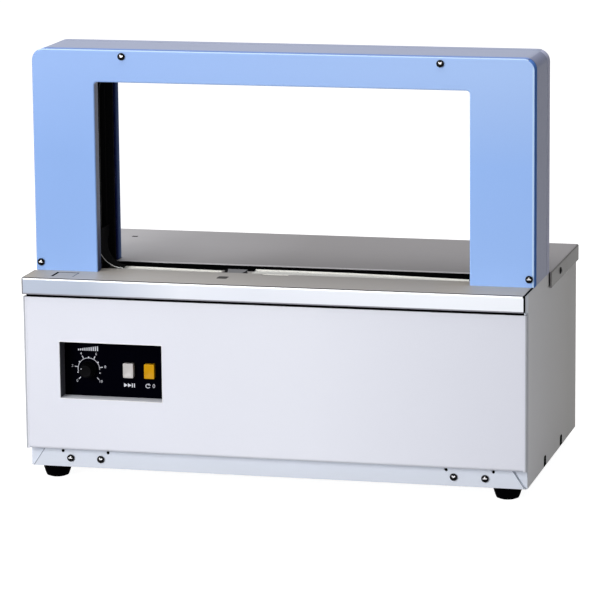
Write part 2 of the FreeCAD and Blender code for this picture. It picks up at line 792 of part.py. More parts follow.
def slot_strips():
    """Polished strips that lead the tape along the front of the slot, either side of the head."""
    t = 1.6
    top = table_under
    y1 = slot_front + slot_strip_width
    room = slide_half + 14.0
    strips = []
    for x0, x1, d0, d1 in ((-opening_half + 2, head_window_left - 1, -opening_half + 2, head_x - room),
                           (head_window_right - 1, opening_half - 2, head_x + room, opening_half - 2)):
        y0 = slot_front - table_sheet - 14
        slant = strip_slant if x0 > head_x else 0.0
        flat = prism_z([(x0, y0, 0), (x1, y0, 0), (x1, y1, 0), (x0 - slant, y1, 0), (x0, slot_front, 0)],
                       top - t, top)
        drop = block(d0, d1, y1 - t, y1, top - 12, top - t / 2)
        strips.append(flat.fuse(drop).removeSplitter())
    return group(strips)


# ---- arch --------------------------------------------------------------------------
def arch_section(outer, top, radius, inner, inner_top, inner_radius, y0, y1, bottom=None):
    """Portal outline between an outer and an inner boundary, carried along Y."""
    low = table_height if bottom is None else bottom
    points = [(-outer, low, 0), (-outer, top, radius), (outer, top, radius), (outer, low, 0),
              (inner, low, 0), (inner, inner_top, inner_radius), (-inner, inner_top, inner_radius),
              (-inner, low, 0)]
    return prism_y(points, y0, y1)


arch_half = arch_width / 2
arch_screw_z = arch_top - arch_screw_drop
arch_foot_screw_z = table_height + arch_foot_screw_height


def arch_pan(face, depth, side):
    """Portal-shaped pan: one face and a flange round its outer and inner edges."""
    t = arch_sheet
    y0 = min(face, face + side * depth)
    y1 = max(face, face + side * depth)
    solid = arch_section(arch_half, arch_top, arch_corner_radius, opening_half, opening_top,
                         opening_corner_radius, y0, y1)
    solid = round_edges(solid, arch_edge_radius,
                        lambda m, d: near(m.y, face) and m.z > table_height + 0.5)
    c0 = face + side * t
    c1 = face + side * (depth + 5)
    cavity = arch_section(arch_half - t, arch_top - t, arch_corner_radius - t, opening_half + t,
                          opening_top + t, opening_corner_radius + t, min(c0, c1), max(c0, c1),
                          bottom=table_height - 5)
    return solid.cut(cavity)


arch_screw_places = [(-arch_screw_x, arch_screw_z), (arch_screw_x, arch_screw_z),
                     (-arch_foot_screw_x, arch_foot_screw_z), (arch_foot_screw_x, arch_foot_screw_z)]


def arch_front_cover():
    """Front pan of the arch, with its four screw holes."""
    holes = [rod(m4_hole, (x, arch_front - 1, z), (x, arch_front + arch_sheet + 1, z))
             for x, z in arch_screw_places]
    return arch_pan(arch_front, arch_front_flange, 1).cut(holes).removeSplitter()


def arch_rear_cover():
    """Rear pan of the arch, with its four screw holes."""
    holes = [rod(m4_hole, (x, arch_back - arch_sheet - 1, z), (x, arch_back + 1, z))
             for x, z in arch_screw_places]
    return arch_pan(arch_back, arch_rear_flange, -1).cut(holes).removeSplitter()


def arch_screws():
    """Pan-head screws on both faces of the arch, and the bolts through its foot plates."""
    screws = []
    for face, side in ((arch_front, -1), (arch_back, 1)):
        for x, z in arch_screw_places:
            screws.append(pan_screw((x, face, z), (0, side, 0), m4_head, m4_head_height, m4_shank, 9.0))
    for side in (-1, 1):
        for y in arch_bolt_y:
            screws.append(pan_screw((side * arch_bolt_x, y, table_height + foot_plate), (0, 0, 1),
                                    m5_head, m5_head_height, m5_shank, foot_plate + bracket_sheet + 4))
    return group(screws)


def arch_band():
    """Bent strip that closes the arch between the two pans' outer flanges."""
    inset = arch_sheet + 0.1
    t = 1.5
    y0 = arch_front + arch_sheet + 0.3
    y1 = arch_back - arch_sheet - 0.3
    return arch_section(arch_half - inset, arch_top - inset, arch_corner_radius - inset,
                        arch_half - inset - t, arch_top - inset - t, arch_corner_radius - inset - t, y0, y1)


def tape_track():
    """Hat-section guide round the opening, with the two ribs that keep the tape in line."""
    t = track_sheet
    plane = arch_sheet + 0.1
    lip_r = opening_corner_radius + plane
    y0 = arch_front + arch_sheet + 0.3
    y1 = arch_back - arch_sheet - 0.3
    wall0 = track_front + 1.5
    wall1 = track_back - 1.5
    depth = plane + track_depth
    turn = track_turn_radius
    low = table_height + 0.5

    def shell(inner_depth, inner_r, outer_depth, outer_r, a, b):
        return arch_section(opening_half + outer_depth, opening_top + outer_depth, outer_r,
                            opening_half + inner_depth, opening_top + inner_depth, inner_r, a, b,
                            bottom=low)

    lips = [shell(plane, lip_r, plane + t, lip_r + t, y0, wall0 + t),
            shell(plane, lip_r, plane + t, lip_r + t, wall1 - t, y1)]
    walls = [shell(plane, lip_r, depth + t, turn + t, wall0, wall0 + t),
             shell(plane, lip_r, depth + t, turn + t, wall1 - t, wall1)]
    base = shell(depth, turn, depth + t, turn + t, wall0, wall1)
    rib_clear = tape_width / 2 + 1.0
    ribs = [shell(depth - 12.0, turn - 12.0, depth + t / 2, turn, tape_line - rib_clear - t,
                  tape_line - rib_clear),
            shell(depth - 12.0, turn - 12.0, depth + t / 2, turn, tape_line + rib_clear,
                  tape_line + rib_clear + t)]
    return base.fuse(lips + walls + ribs).removeSplitter()


frame_wall = 3.0
foot_plate = 4.0
bracket_sheet = 4.0
bracket_drop = 151.0
bolt_pitch = 36.0
track_outside = arch_sheet + 0.1 + track_depth + track_sheet
frame_outer = arch_half - 5.0
frame_top = arch_top - 3.6
frame_under = opening_top + track_outside + 0.6
frame_inner = opening_half + track_outside + 1.9
frame_front = arch_front + 16.0
frame_back = arch_back - 16.0
arch_bolt_x = (frame_inner + frame_outer) / 2
arch_bolt_y = [(frame_front + frame_back) / 2 + side * bolt_pitch / 2 for side in (-1, 1)]


def arch_frame():
    """Welded channel frame inside the arch, with foot plates and screw lugs."""
    t = frame_wall
    outer = arch_section(frame_outer, frame_top, arch_corner_radius - 5, frame_inner, frame_under, 3.0,
                         frame_front, frame_back)
    inner = arch_section(frame_outer - t, frame_top - t, arch_corner_radius - 5 - t, frame_inner + t,
                         frame_under + t, 3.0 + t, frame_front + t, frame_back + 5,
                         bottom=table_height - 5)
    channel = outer.cut(inner)
    foot = block(frame_inner, frame_outer, frame_front, frame_back, table_height, table_height + foot_plate)
    foot_holes = [rod(m5_hole, (arch_bolt_x, y, table_height - 1),
                      (arch_bolt_x, y, table_height + foot_plate + 1))
                  for y in arch_bolt_y]
    foot = foot.cut(foot_holes)
    lugs = []
    for x, z in arch_screw_places:
        for y0, y1 in ((arch_front + arch_sheet, frame_front + t), (frame_back - t, arch_back - arch_sheet)):
            wide = 8.0 if z > opening_top else 5.0
            shift = 0.0 if z > opening_top else math.copysign(2.0, -x)
            low = z - 4.5
            high = min(z + 4.5, frame_top)
            lug = block(x + shift - wide, x + shift + wide - (3.5 if shift < 0 else 0), y0, y1, low, high)
            if shift > 0:
                lug = block(x + shift - wide + 3.5, x + shift + wide, y0, y1, low, high)
            lug = lug.cut(rod(m4_hole, (x, y0 - 1, z), (x, y1 + 1, z)))
            lugs.append(lug)
    frame = channel.fuse([foot, mirrored(foot)] + lugs)
    screw_room = [rod(m4_hole, (x, arch_front, z), (x, arch_front + 14, z)) for x, z in arch_screw_places]
    screw_room += [rod(m4_hole, (x, arch_back - 14, z), (x, arch_back, z)) for x, z in arch_screw_places]
    return frame.cut(screw_room).removeSplitter()


def arch_bracket():
    """Angle under the left leg: its top carries the arch, its foot stands on the tray."""
    t = bracket_sheet
    x0 = -body_half + panel_sheet
    x_in = x0 + seat_gap + tray_sheet
    y0 = slot_front + seat_gap
    y1 = arm_end
    top = block(x0, -frame_inner + 6, y0, y1, table_height - t, table_height)
    wall_bottom = table_height - bracket_drop
    wall = block(x0, x0 + t, y0, y1, wall_bottom, table_height)
    leg = block(x_in, x_in + t, y0 + 12, y0 + 40, tray_floor, wall_bottom + 20)
    foot = block(x_in, x_in + 24, y0 + 12, y0 + 40, tray_floor, tray_floor + t)
    gusset = prism_y([(x0 + t, table_height - t, 0), (x0 + 30, table_height - t, 0),
                      (x0 + t, table_height - 60, 0)], y1 - t, y1)
    holes = [rod(m5_hole, (-arch_bolt_x, y, table_height - t - 1), (-arch_bolt_x, y, table_height + 1))
             for y in arch_bolt_y]
    return top.fuse([wall, leg, foot, gusset]).cut(holes).removeSplitter()


def arch_brackets():
    """The angle under each leg."""
    left = arch_bracket()
    return group([left, mirrored(left)])


def corner_guide(r):
    """Curved strip of radius r that leads the tape from the left leg of the track into the slot."""
    t = 1.5
    x0 = -opening_half - 8.0
    z0 = table_height + seat_gap
    rise = guide_rise
    centre_x = x0 + r
    centre_z = z0 + r
    y0 = tape_line - guide_front_reach
    y1 = tape_line + guide_rear_reach
    s = math.sqrt(0.5)

    def at(x, z):
        return V(x, y0, z)

    edges = [Part.Arc(at(centre_x, z0), at(centre_x - r * s, centre_z - r * s), at(x0, centre_z)).toShape(),
             Part.LineSegment(at(x0, centre_z), at(x0, centre_z + rise)).toShape(),
             Part.LineSegment(at(x0, centre_z + rise), at(x0 + t, centre_z + rise)).toShape(),
             Part.LineSegment(at(x0 + t, centre_z + rise), at(x0 + t, centre_z)).toShape(),
             Part.Arc(at(x0 + t, centre_z), at(centre_x - (r - t) * s, centre_z - (r - t) * s),
                      at(centre_x, z0 + t)).toShape(),
             Part.LineSegment(at(centre_x, z0 + t), at(centre_x, z0)).toShape()]
    strip = Part.Face(Part.Wire(edges)).extrude(V(0, y1 - y0, 0))
    reach = opening_half + arch_sheet + 0.1 + track_depth
    lug = block(-reach, x0 + t / 2, y0, y0 + 15, centre_z + rise - 10, centre_z + rise)
    return strip.fuse(lug).removeSplitter()


def corner_guides():
    """The curved strip at the foot of each leg."""
    return group([corner_guide(left_guide_radius), mirrored(corner_guide(right_guide_radius))])


# ---- control recess ----------------------------------------------------------------
def control_box():
    """Four-walled recess behind the window."""
    t = panel_sheet
    x0 = window_left
    x1 = window_left + window_width
    z0 = window_bottom
    z1 = window_bottom + window_height
    y0 = cover_front + panel_sheet
    outer = block(x0 - t, x1 + t, y0, plate_front, z0 - t, z1 + t)
    inner = block(x0, x1, y0 - 1, plate_front + 1, z0, z1)
    lip = block(x0 - 8, x1 + 8, y0, y0 + t, z0 - 8, z1 + 8)
    return outer.fuse(lip).cut(inner).removeSplitter()


def control_plate():
    """Plate at the back of the recess, with holes for the control and the two keys."""
    over = 8.0
    x0 = window_left - over
    x1 = window_left + window_width + over
    plate = block(x0, x1, plate_front, plate_back, window_bottom - over, window_bottom + window_height + over)
    cuts = [rod(bushing_radius + 0.1, (knob_x, plate_front - 1, knob_z), (knob_x, plate_back + 1, knob_z))]
    for x in (feed_button_x, reset_button_x):
        half_w = button_width / 2 + seat_gap
        half_h = button_height / 2 + seat_gap
        cuts.append(block(x - half_w, x + half_w, plate_front - 1, plate_back + 1,
                          button_z - half_h, button_z + half_h))
    return plate.cut(cuts)


key_bevel = 1.0
bushing_radius = 4.5
knob_shaft_radius = 3.0
knob_gap = 1.5


def tension_knob():
    """Skirted control knob with a tapered top, on its shaft from the potentiometer."""
    r = knob_diameter / 2
    y_back = plate_front - knob_gap
    profile = [(0, 0), (r, 0), (r, knob_length * 0.35), (r * 0.86, knob_length * 0.45),
               (r * 0.8, knob_length - 0.8), (r * 0.72, knob_length), (0, knob_length)]
    body = turned(profile, (knob_x, y_back, knob_z), (0, -1, 0))
    bore = rod(knob_shaft_radius, (knob_x, y_back + 1, knob_z), (knob_x, y_back - knob_length * 0.7, knob_z))
    shaft = rod(knob_shaft_radius, (knob_x, plate_back + 6.0, knob_z),
                (knob_x, y_back - knob_length * 0.68, knob_z))
    return group([body.cut(bore), shaft])


def potentiometer():
    """Round potentiometer body with its bushing through the plate."""
    body = rod(12.0, (knob_x, plate_back, knob_z), (knob_x, plate_back + 10, knob_z))
    bushing = rod(bushing_radius, (knob_x, plate_front - 1.0, knob_z), (knob_x, plate_back + 1, knob_z))
    lugs = [block(knob_x + dx - 1, knob_x + dx + 1, plate_back + 5, plate_back + 6,
                  knob_z - 18, knob_z - 10) for dx in (-5, 0, 5)]
    bore = rod(knob_shaft_radius + running_gap, (knob_x, plate_front - 3, knob_z),
               (knob_x, plate_back + 7, knob_z))
    return body.fuse([bushing] + lugs).cut(bore).removeSplitter()


def push_button(x):
    """Rectangular key cap, bevelled round its face, with its plunger."""
    half_w = button_width / 2
    half_h = button_height / 2
    face = plate_front - button_proud
    cap = block(x - half_w, x + half_w, face, plate_back + 1.0, button_z - half_h, button_z + half_h)
    cap = cap.makeChamfer(key_bevel, [edge for edge in cap.Edges if near(edge.CenterOfMass.y, face)])
    plunger = rod(3.0, (x, plate_back, button_z), (x, plate_back + 10, button_z))
    return cap.fuse(plunger).removeSplitter()


def feed_button():
    """White key that feeds tape."""
    return push_button(feed_button_x)


def reset_button():
    """Amber key that resets the machine."""
    return push_button(reset_button_x)


def button_housings():
    """Switch bodies behind the plate, one for each key."""
    housings = []
    for x in (feed_button_x, reset_button_x):
        half_w = button_width / 2 + 2
        half_h = button_height / 2 + 2
        body = block(x - half_w, x + half_w, plate_back, plate_back + 20,
                     button_z - half_h, button_z + half_h)
        pocket = block(x - button_width / 2 - seat_gap, x + button_width / 2 + seat_gap, plate_back - 1,
                       plate_back + 1.0 + button_travel + seat_gap,
                       button_z - button_height / 2 - seat_gap, button_z + button_height / 2 + seat_gap)
        bore = rod(3.0 + running_gap, (x, plate_back, button_z),
                   (x, plate_back + 10 + button_travel + seat_gap, button_z))
        housings.append(body.cut([pocket, bore]).removeSplitter())
    return group(housings)


# ---- clamping head -----------------------------------------------------------------
clamp_x = [head_x - clamp_pitch, head_x, head_x + clamp_pitch]
stand_gap = 14.0
block_shoulder = 15.0
stand_left = clamp_x[0] - clamp_width / 2 - stand_gap
stand_right = clamp_x[2] + clamp_width / 2 + stand_gap
stand_front = tape_line - stand_depth / 2
stand_back = tape_line + stand_depth / 2
anvil_under = table_under - 3.5
slide_thickness = 3.5
clamp_rest_top = anvil_under - slide_thickness - seat_gap - clamp_lift
block_top = rim_bottom - 9.0
block_bottom = block_top - block_height
bearing_outer_radius = 14.0
camshaft_radius = camshaft_diameter / 2
tappet_radius = 11.0
tappet_bottom = camshaft_height + cam_base_radius + seat_gap
tappet_thickness = 5.0


def head_stand():
    """Two cheek plates on foot flanges, bored for the camshaft bearings."""
    plates = []
    for x0, x1, out in ((stand_left - stand_sheet, stand_left, -1), (stand_right, stand_right + stand_sheet, 1)):
        cheek = prism_x([(stand_front, tray_floor, 0), (stand_back, tray_floor, 0),
                         (stand_back, block_top, 6), (stand_front, block_top, 6)], x0, x1)
        foot = block(x0 - (16 if out < 0 else 0), x1 + (16 if out > 0 else 0), stand_front, stand_back,
                     tray_floor, tray_floor + stand_sheet)
        cuts = [rod(bearing_outer_radius + 0.02, (x0 - 1, tape_line, camshaft_height),
                    (x1 + 1, tape_line, camshaft_height)),
                prism_x([(stand_front + 14, tray_floor + 18, 5), (stand_back - 14, tray_floor + 18, 5),
                         (stand_back - 14, camshaft_height - 26, 5), (stand_front + 14, camshaft_height - 26, 5)],
                        x0 - 1, x1 + 1)]
        plates.append(cheek.fuse(foot).cut(cuts).removeSplitter())
    return group(plates)


def camshaft_bearings():
    """Ball bearing rings in the cheek plates."""
    rings = []
    for x0 in (stand_left - stand_sheet, stand_right):
        rings.append(ring(bearing_outer_radius, camshaft_radius + running_gap, (x0, tape_line, camshaft_height),
                          (x0 + stand_sheet, tape_line, camshaft_height)))
    return group(rings)


def head_block():
    """Block between the cheeks with the three guide ways for the clamps."""
    half = clamp_depth / 2 + block_shoulder
    body = block(stand_left, stand_right, tape_line - half, tape_line + half, block_bottom, block_top)
    gap = running_gap
    ways = [block(x - clamp_width / 2 - gap, x + clamp_width / 2 + gap, tape_line - clamp_depth / 2 - gap,
                  tape_line + clamp_depth / 2 + gap, block_bottom - 1, block_top + 1) for x in clamp_x]
    body = body.cut(ways)
    body = round_edges(body, 2.0, lambda m, d: near(abs(d.x), 1) and near(m.z, block_bottom)
                       and near(abs(m.y - tape_line), half))
    return body


def clamp(x):
    """Clamp bar with its round tappet foot and a grooved top."""
    bar = block(x - clamp_width / 2, x + clamp_width / 2, tape_line - clamp_depth / 2,
                tape_line + clamp_depth / 2, tappet_bottom + tappet_thickness / 2, clamp_rest_top)
    foot = rod(tappet_radius, (x, tape_line, tappet_bottom), (x, tape_line, tappet_bottom + tappet_thickness))
    grooves = [block(x + s * 3 - 0.5, x + s * 3 + 0.5, tape_line - clamp_depth, tape_line + clamp_depth,
                     clamp_rest_top - 1.0, clamp_rest_top + 1) for s in (-1, 0, 1)]
    return bar.fuse(foot).cut(grooves).removeSplitter()


def left_gripper():
    """Clamp that holds the leading end of the tape."""
    return clamp(clamp_x[0])


def right_gripper():
    """Clamp that holds the supply side of the tape."""
    return clamp(clamp_x[2])


heater_height = 5.0


def press_head():
    """Middle clamp, cut short for the heater that it carries."""
    x = clamp_x[1]
    bar = block(x - clamp_width / 2, x + clamp_width / 2, tape_line - clamp_depth / 2,
                tape_line + clamp_depth / 2, tappet_bottom + tappet_thickness / 2,
                clamp_rest_top - heater_height)
    foot = rod(tappet_radius, (x, tape_line, tappet_bottom), (x, tape_line, tappet_bottom + tappet_thickness))
    return bar.fuse(foot).removeSplitter()


def seal_heater():
    """Heated pad on top of the press head."""
    x = clamp_x[1]
    half_w = clamp_width / 2
    pad = block(x - half_w, x + half_w, tape_line - tape_width / 2, tape_line + tape_width / 2,
                clamp_rest_top - heater_height, clamp_rest_top)
    return round_edges(pad, 0.8, lambda m, d: near(m.z, clamp_rest_top) and near(abs(m.x - x), half_w))


def cutter_blade():
    """Blade beside the press head that parts the tape."""
    x0 = clamp_x[1] + clamp_width / 2
    low = clamp_rest_top - heater_height - 8
    outline = [(tape_line - tape_width / 2 - 1, low, 0), (tape_line + tape_width / 2 + 1, low, 0),
               (tape_line + tape_width / 2 + 1, clamp_rest_top, 0),
               (tape_line - tape_width / 2 - 1, clamp_rest_top - 3, 0)]
    return prism_x(outline, x0, x0 + 1.5)


def cam(x):
    """Plate cam for a flat tappet: the lift grows evenly with the turn over its stroke.

    The outline is the envelope of the tappet's flat foot: at normal angle a the foot
    stands at height h(a), and the point of contact is h(a) along the normal plus
    h'(a) across it. Over the stroke h falls evenly, then dwells, then climbs back on
    a cubic blend.
    """
    stroke = math.radians(cam_stroke_angle)
    rate = clamp_lift / stroke
    low = cam_base_radius
    high = cam_base_radius + clamp_lift
    dwell_end = 2 * math.pi - 2 * stroke

    def contact(a, h, slope):
        up = V(0, -math.sin(a), math.cos(a))
        across = V(0, -math.cos(a), -math.sin(a))
        centre = V(x - cam_width / 2, tape_line, camshaft_height)
        return centre + up * h + across * slope

    steps = 8
    stroke_points = []
    for i in range(steps + 1):
        a = -stroke + stroke * i / steps
        stroke_points.append(contact(a, low - rate * a, -rate))
    blend_points = []
    span = 2 * math.pi - stroke - dwell_end
    for i in range(steps + 1):
        u = i / steps
        a = dwell_end + span * u
        h = low + (high - low) * (3 * u ** 2 - 2 * u ** 3) - rate * span * (u ** 3 - u ** 2)
        slope = ((high - low) * (6 * u - 6 * u ** 2) / span) - rate * (3 * u ** 2 - 2 * u)
        blend_points.append(contact(a, h, slope))
    blend_points[-1] = stroke_points[0]
    dwell_points = [contact(a, low, 0) for a in (0, dwell_end / 2, dwell_end)]
    blend_points[0] = dwell_points[2]
    edges = [Part.Arc(*points[i:i + 3]).toShape()
             for points in (stroke_points, blend_points) for i in range(0, steps, 2)]
    edges[steps // 2:steps // 2] = [Part.LineSegment(stroke_points[-1], dwell_points[0]).toShape(),
                                    Part.Arc(*dwell_points).toShape()]
    return Part.Face(Part.Wire(edges)).extrude(V(cam_width, 0, 0))


def camshaft():
    """Shaft with its three cams and the flat for the pulley."""
    x0 = stand_left - stand_sheet - 2.0
    x1 = stand_right + stand_sheet + 2.0 + pulley_width
    shaft = rod(camshaft_radius, (x0, tape_line, camshaft_height), (x1, tape_line, camshaft_height))
    collars = [rod(camshaft_radius + 3, (x, tape_line, camshaft_height), (x + 3, tape_line, camshaft_height))
               for x in (stand_left + 0.3, stand_right - 3.3)]
    return shaft.fuse([cam(x) for x in clamp_x] + collars).removeSplitter()


pulley_x = stand_right + stand_sheet + 2.0


def pulley(radius, y, z, bore):
    """Toothed-belt pulley with two flanges."""
    x0 = pulley_x
    x1 = pulley_x + pulley_width
    body = rod(radius, (x0, y, z), (x1, y, z))
    flanges = [rod(radius + 2.5, (x0, y, z), (x0 + 1, y, z)), rod(radius + 2.5, (x1 - 1, y, z), (x1, y, z))]
    return body.fuse(flanges).cut(rod(bore, (x0 - 1, y, z), (x1 + 1, y, z))).removeSplitter()


def camshaft_pulley():
    """Large pulley on the camshaft."""
    return pulley(cam_pulley_diameter / 2, tape_line, camshaft_height, camshaft_radius)


motor_shaft_radius = 4.0
motor_nose_radius = 10.5
motor_bracket_sheet = 3.0
motor_foot_length = 30.0
gearbox_length = 26.0


def motor_pulley():
    """Small pulley on the motor's output shaft."""
    shaft = rod(motor_shaft_radius, (pulley_x, motor_y, motor_z), (motor_face + 12, motor_y, motor_z))
    return group([pulley(motor_pulley_diameter / 2, motor_y, motor_z, motor_shaft_radius), shaft])


motor_face = pulley_x + pulley_width + 4.0


def drive_belt():
    """Closed belt round both pulleys: two wraps joined by their common tangents."""
    x0 = pulley_x + 1.5
    x1 = pulley_x + pulley_width - 1.5

    def loop(extra):
        big = cam_pulley_diameter / 2 + seat_gap + extra
        small = motor_pulley_diameter / 2 + seat_gap + extra
        dy = motor_y - tape_line
        dz = motor_z - camshaft_height
        distance = math.hypot(dy, dz)
        along = V(0, dy / distance, dz / distance)
        across = V(0, -along.z, along.y)
        lean = (big - small) / distance
        up = math.sqrt(1 - lean * lean)
        c0 = V(x0, tape_line, camshaft_height)
        c1 = V(x0, motor_y, motor_z)
        n0 = along * lean + across * up
        n1 = along * lean - across * up
        a0 = c0 + n0 * big
        a1 = c0 + n1 * big
        b0 = c1 + n0 * small
        b1 = c1 + n1 * small
        edges = [Part.Arc(a1, c0 - along * big, a0).toShape(), Part.LineSegment(a0, b0).toShape(),
                 Part.Arc(b0, c1 + along * small, b1).toShape(), Part.LineSegment(b1, a1).toShape()]
        return Part.Face(Part.Wire(edges)).extrude(V(x1 - x0, 0, 0))

    return loop(belt_thickness).cut(loop(0))


def motor_bracket():
    """Angle bracket that the gear motor is bolted to."""
    x0 = motor_face
    x1 = motor_face + motor_bracket_sheet
    half = motor_diameter / 2 + 6
    wall = prism_x([(motor_y - half, tray_floor, 0), (motor_y + half, tray_floor, 0),
                    (motor_y + half, motor_z + half, 6), (motor_y - half, motor_z + half, 6)], x0, x1)
    foot = block(x0, x0 + motor_foot_length, motor_y - half, motor_y + half,
                 tray_floor, tray_floor + motor_bracket_sheet)
    hole = rod(motor_nose_radius + 0.5, (x0 - 1, motor_y, motor_z), (x1 + 1, motor_y, motor_z))
    return wall.fuse(foot).cut(hole).removeSplitter()


def gear_motor():
    """Round motor behind a shorter gearbox, bored for its output shaft."""
    x0 = motor_face + motor_bracket_sheet
    box_length = gearbox_length
    gearbox = rod(motor_diameter / 2, (x0, motor_y, motor_z), (x0 + box_length, motor_y, motor_z))
    can = rod(motor_diameter / 2 - 3, (x0 + box_length, motor_y, motor_z),
              (x0 + motor_length, motor_y, motor_z))
    nose = rod(motor_nose_radius, (motor_face, motor_y, motor_z), (x0 + 1, motor_y, motor_z))
    cap = rod(9.0, (x0 + motor_length - 1, motor_y, motor_z), (x0 + motor_length + 5, motor_y, motor_z))
    bore = rod(motor_shaft_radius + running_gap, (motor_face - 1, motor_y, motor_z),
               (x0 + 12, motor_y, motor_z))
    return gearbox.fuse([can, nose, cap]).cut(bore).removeSplitter()


# ---- anvil -------------------------------------------------------------------------
slide_half = clamp_pitch + clamp_width / 2 + 4.0
slide_back = tape_line + tape_width / 2 + 2.0
slide_front = slot_front + 0.5
slide_low = anvil_under - slide_thickness
plunger_x = head_x + 28.0
plunger_radius = 3.0


def anvil_plate():
    """Hardened plate, wider to the back, that the tape is sealed against."""
    top = table_under - 0.4
    y0 = slot_front - 1.0
    y1 = y0 + anvil_length
    points = [(head_x - anvil_front_left, y0, 0), (head_x + anvil_front_right, y0, 0),
              (head_x + anvil_back_right, y1, 0), (head_x - anvil_back_left, y1, 0)]
    return prism_z(points, anvil_under, top)


def anvil_slide():
    """Carriage below the anvil plate, with the rod that its solenoid pulls."""
    body = block(head_x - slide_half, head_x + slide_half, slide_front, slide_back, slide_low, anvil_under)
    z = slide_low + slide_thickness / 2
    link = rod(plunger_radius, (plunger_x, slide_front + 6, z), (plunger_x, solenoid_back - 8.0, z))
    collar = rod(plunger_radius, (plunger_x, slide_front - 4, z), (plunger_x, slide_front + 2, z))
    bossy = block(plunger_x - 4, plunger_x + 4, slide_front - 2, slide_front + 8, slide_low - 2, anvil_under)
    return body.fuse([link, collar, bossy]).removeSplitter()


solenoid_back = slide_front - anvil_stroke - 6.0
solenoid_front = cover_front + panel_sheet + 6.0


def anvil_solenoid():
    """Pull solenoid under the front table."""
    z = slide_low + slide_thickness / 2
    body = block(plunger_x - 14, plunger_x + 14, solenoid_front, solenoid_back, z - 13, table_under)
    body = round_edges(body, 1.5, lambda m, d: near(abs(d.y), 1) and m.z < z)
    bore = rod(plunger_radius + running_gap, (plunger_x, solenoid_back - 8.0 - anvil_stroke - 3, z),
               (plunger_x, solenoid_back + 1, z))
    return body.cut(bore)


def anvil_rails():
    """Two guide rails on the head block that carry the anvil carriage in front of the tape."""
    outer = stand_right - 1.0
    step = head_x + slide_half + running_gap
    y0 = slide_front - anvil_stroke
    y1 = tape_line - tape_width / 2 - 2.0
    wall = block(step, outer, y0, y1, block_top, anvil_under)
    ledge = block(step - 3.0, outer, y0, y1, slide_low - running_gap - 3, slide_low - running_gap)
    rail = wall.fuse(ledge).removeSplitter()
    left = rail.mirror(V(head_x, 0, 0), V(1, 0, 0))
    return group([left, rail])


# ---- tape feed ---------------------------------------------------------------------
roller_front = tape_line - roller_width / 2
roller_back = tape_line + roller_width / 2
feed_shaft_radius = 4.0
feed_plate_front = roller_back + 8.0
feed_plate_back = feed_plate_front + 4.0
pinch_z = feed_z + feed_roller_diameter / 2 + pinch_roller_diameter / 2 + tape_nip
feed_plate_half = 26.0
feed_motor_radius = 18.5
feed_motor_length = 52.0
feed_motor_flats = 16.0


def feed_bracket():
    """Upright plate that carries both rollers and the feed motor."""
    half = feed_plate_half
    plate = prism_y([(feed_x - half, tray_floor, 0), (feed_x + half, tray_floor, 0),
                     (feed_x + half, pinch_z + 8, 8), (feed_x - half, pinch_z + 8, 8)],
                    feed_plate_front, feed_plate_back)
    foot = block(feed_x - half, feed_x + half, feed_plate_front, feed_plate_front + half,
                 tray_floor, tray_floor + feed_plate_back - feed_plate_front)
    hole = rod(feed_shaft_radius + 2.0, (feed_x, feed_plate_front - 1, feed_z),
               (feed_x, feed_plate_back + 1, feed_z))
    stud = rod(feed_shaft_radius, (feed_x, roller_front - 1.0, pinch_z),
               (feed_x, feed_plate_front + 1, pinch_z))
    shoulder = rod(feed_shaft_radius + 2, (feed_x, roller_back + 0.3, pinch_z),
                   (feed_x, feed_plate_front + 1, pinch_z))
    window = prism_y([(feed_x - 14, tray_floor + 40, 4), (feed_x + 14, tray_floor + 40, 4),
                      (feed_x + 14, feed_z - 50, 4), (feed_x - 14, feed_z - 50, 4)],
                     feed_plate_front - 1, feed_plate_back + 1)
    return plate.fuse([foot, stud, shoulder]).cut([hole, window]).removeSplitter()


def roller(diameter, z, bore):
    """Plain bored roller."""
    return ring(diameter / 2, bore, (feed_x, roller_front, z), (feed_x, roller_back, z))


def feed_roller():
    """Rubber drive roller on the shaft of the feed motor."""
    shaft = rod(feed_shaft_radius, (feed_x, roller_front - 1.5, feed_z),
                (feed_x, feed_plate_back + 12, feed_z))
    return group([roller(feed_roller_diameter, feed_z, feed_shaft_radius), shaft])


def pinch_roller():
    """Steel roller that presses the tape on the drive roller."""
    return roller(pinch_roller_diameter, pinch_z, feed_shaft_radius + running_gap)


def feed_motor():
    """Small motor behind the feed plate."""
    far = feed_plate_back + feed_motor_length
    body = rod(feed_motor_radius, (feed_x, feed_plate_back, feed_z), (feed_x, far, feed_z))
    wide = 2 * feed_motor_radius
    flats = [block(feed_x + min(side * wide, side * feed_motor_flats),
                   feed_x + max(side * wide, side * feed_motor_flats),
                   feed_plate_back + 8, far + 1, feed_z - wide, feed_z + wide) for side in (-1, 1)]
    bore = rod(feed_shaft_radius + running_gap, (feed_x, feed_plate_back - 1, feed_z),
               (feed_x, feed_plate_back + 13, feed_z))
    return body.cut(flats + [bore])


def tape_chute():
    """Narrow channel that leads the tape from the rollers up to the head."""
    t = 1.2
    half = tape_width / 2 + 0.6
    x0 = feed_x - 12.0
    z0 = feed_z + feed_roller_diameter / 2 + tape_nip / 2
    x1 = stand_right + 3.0
    z1 = slide_low - 3.0
    run = math.hypot(x1 - x0, z1 - z0)
    lean = math.degrees(math.atan2(z1 - z0, x0 - x1))
    low = block(-run, 0, tape_line - half, tape_line + half + t, -1.5 - t, -1.5)
    high = block(-run, 0, tape_line - half, tape_line + half + t, 1.5, 1.5 + t)
    web = block(-run, 0, tape_line + half, tape_line + half + t, -1.5 - t, 1.5 + t)
    arm = block(-run * 0.55, -run * 0.25, tape_line + half, feed_plate_front, 1.5, 1.5 + t)
    chute = low.fuse([high, web, arm]).removeSplitter()
    chute.rotate(V(0, 0, 0), V(0, 1, 0), lean)
    chute.translate(V(x0, 0, z0))
    return chute


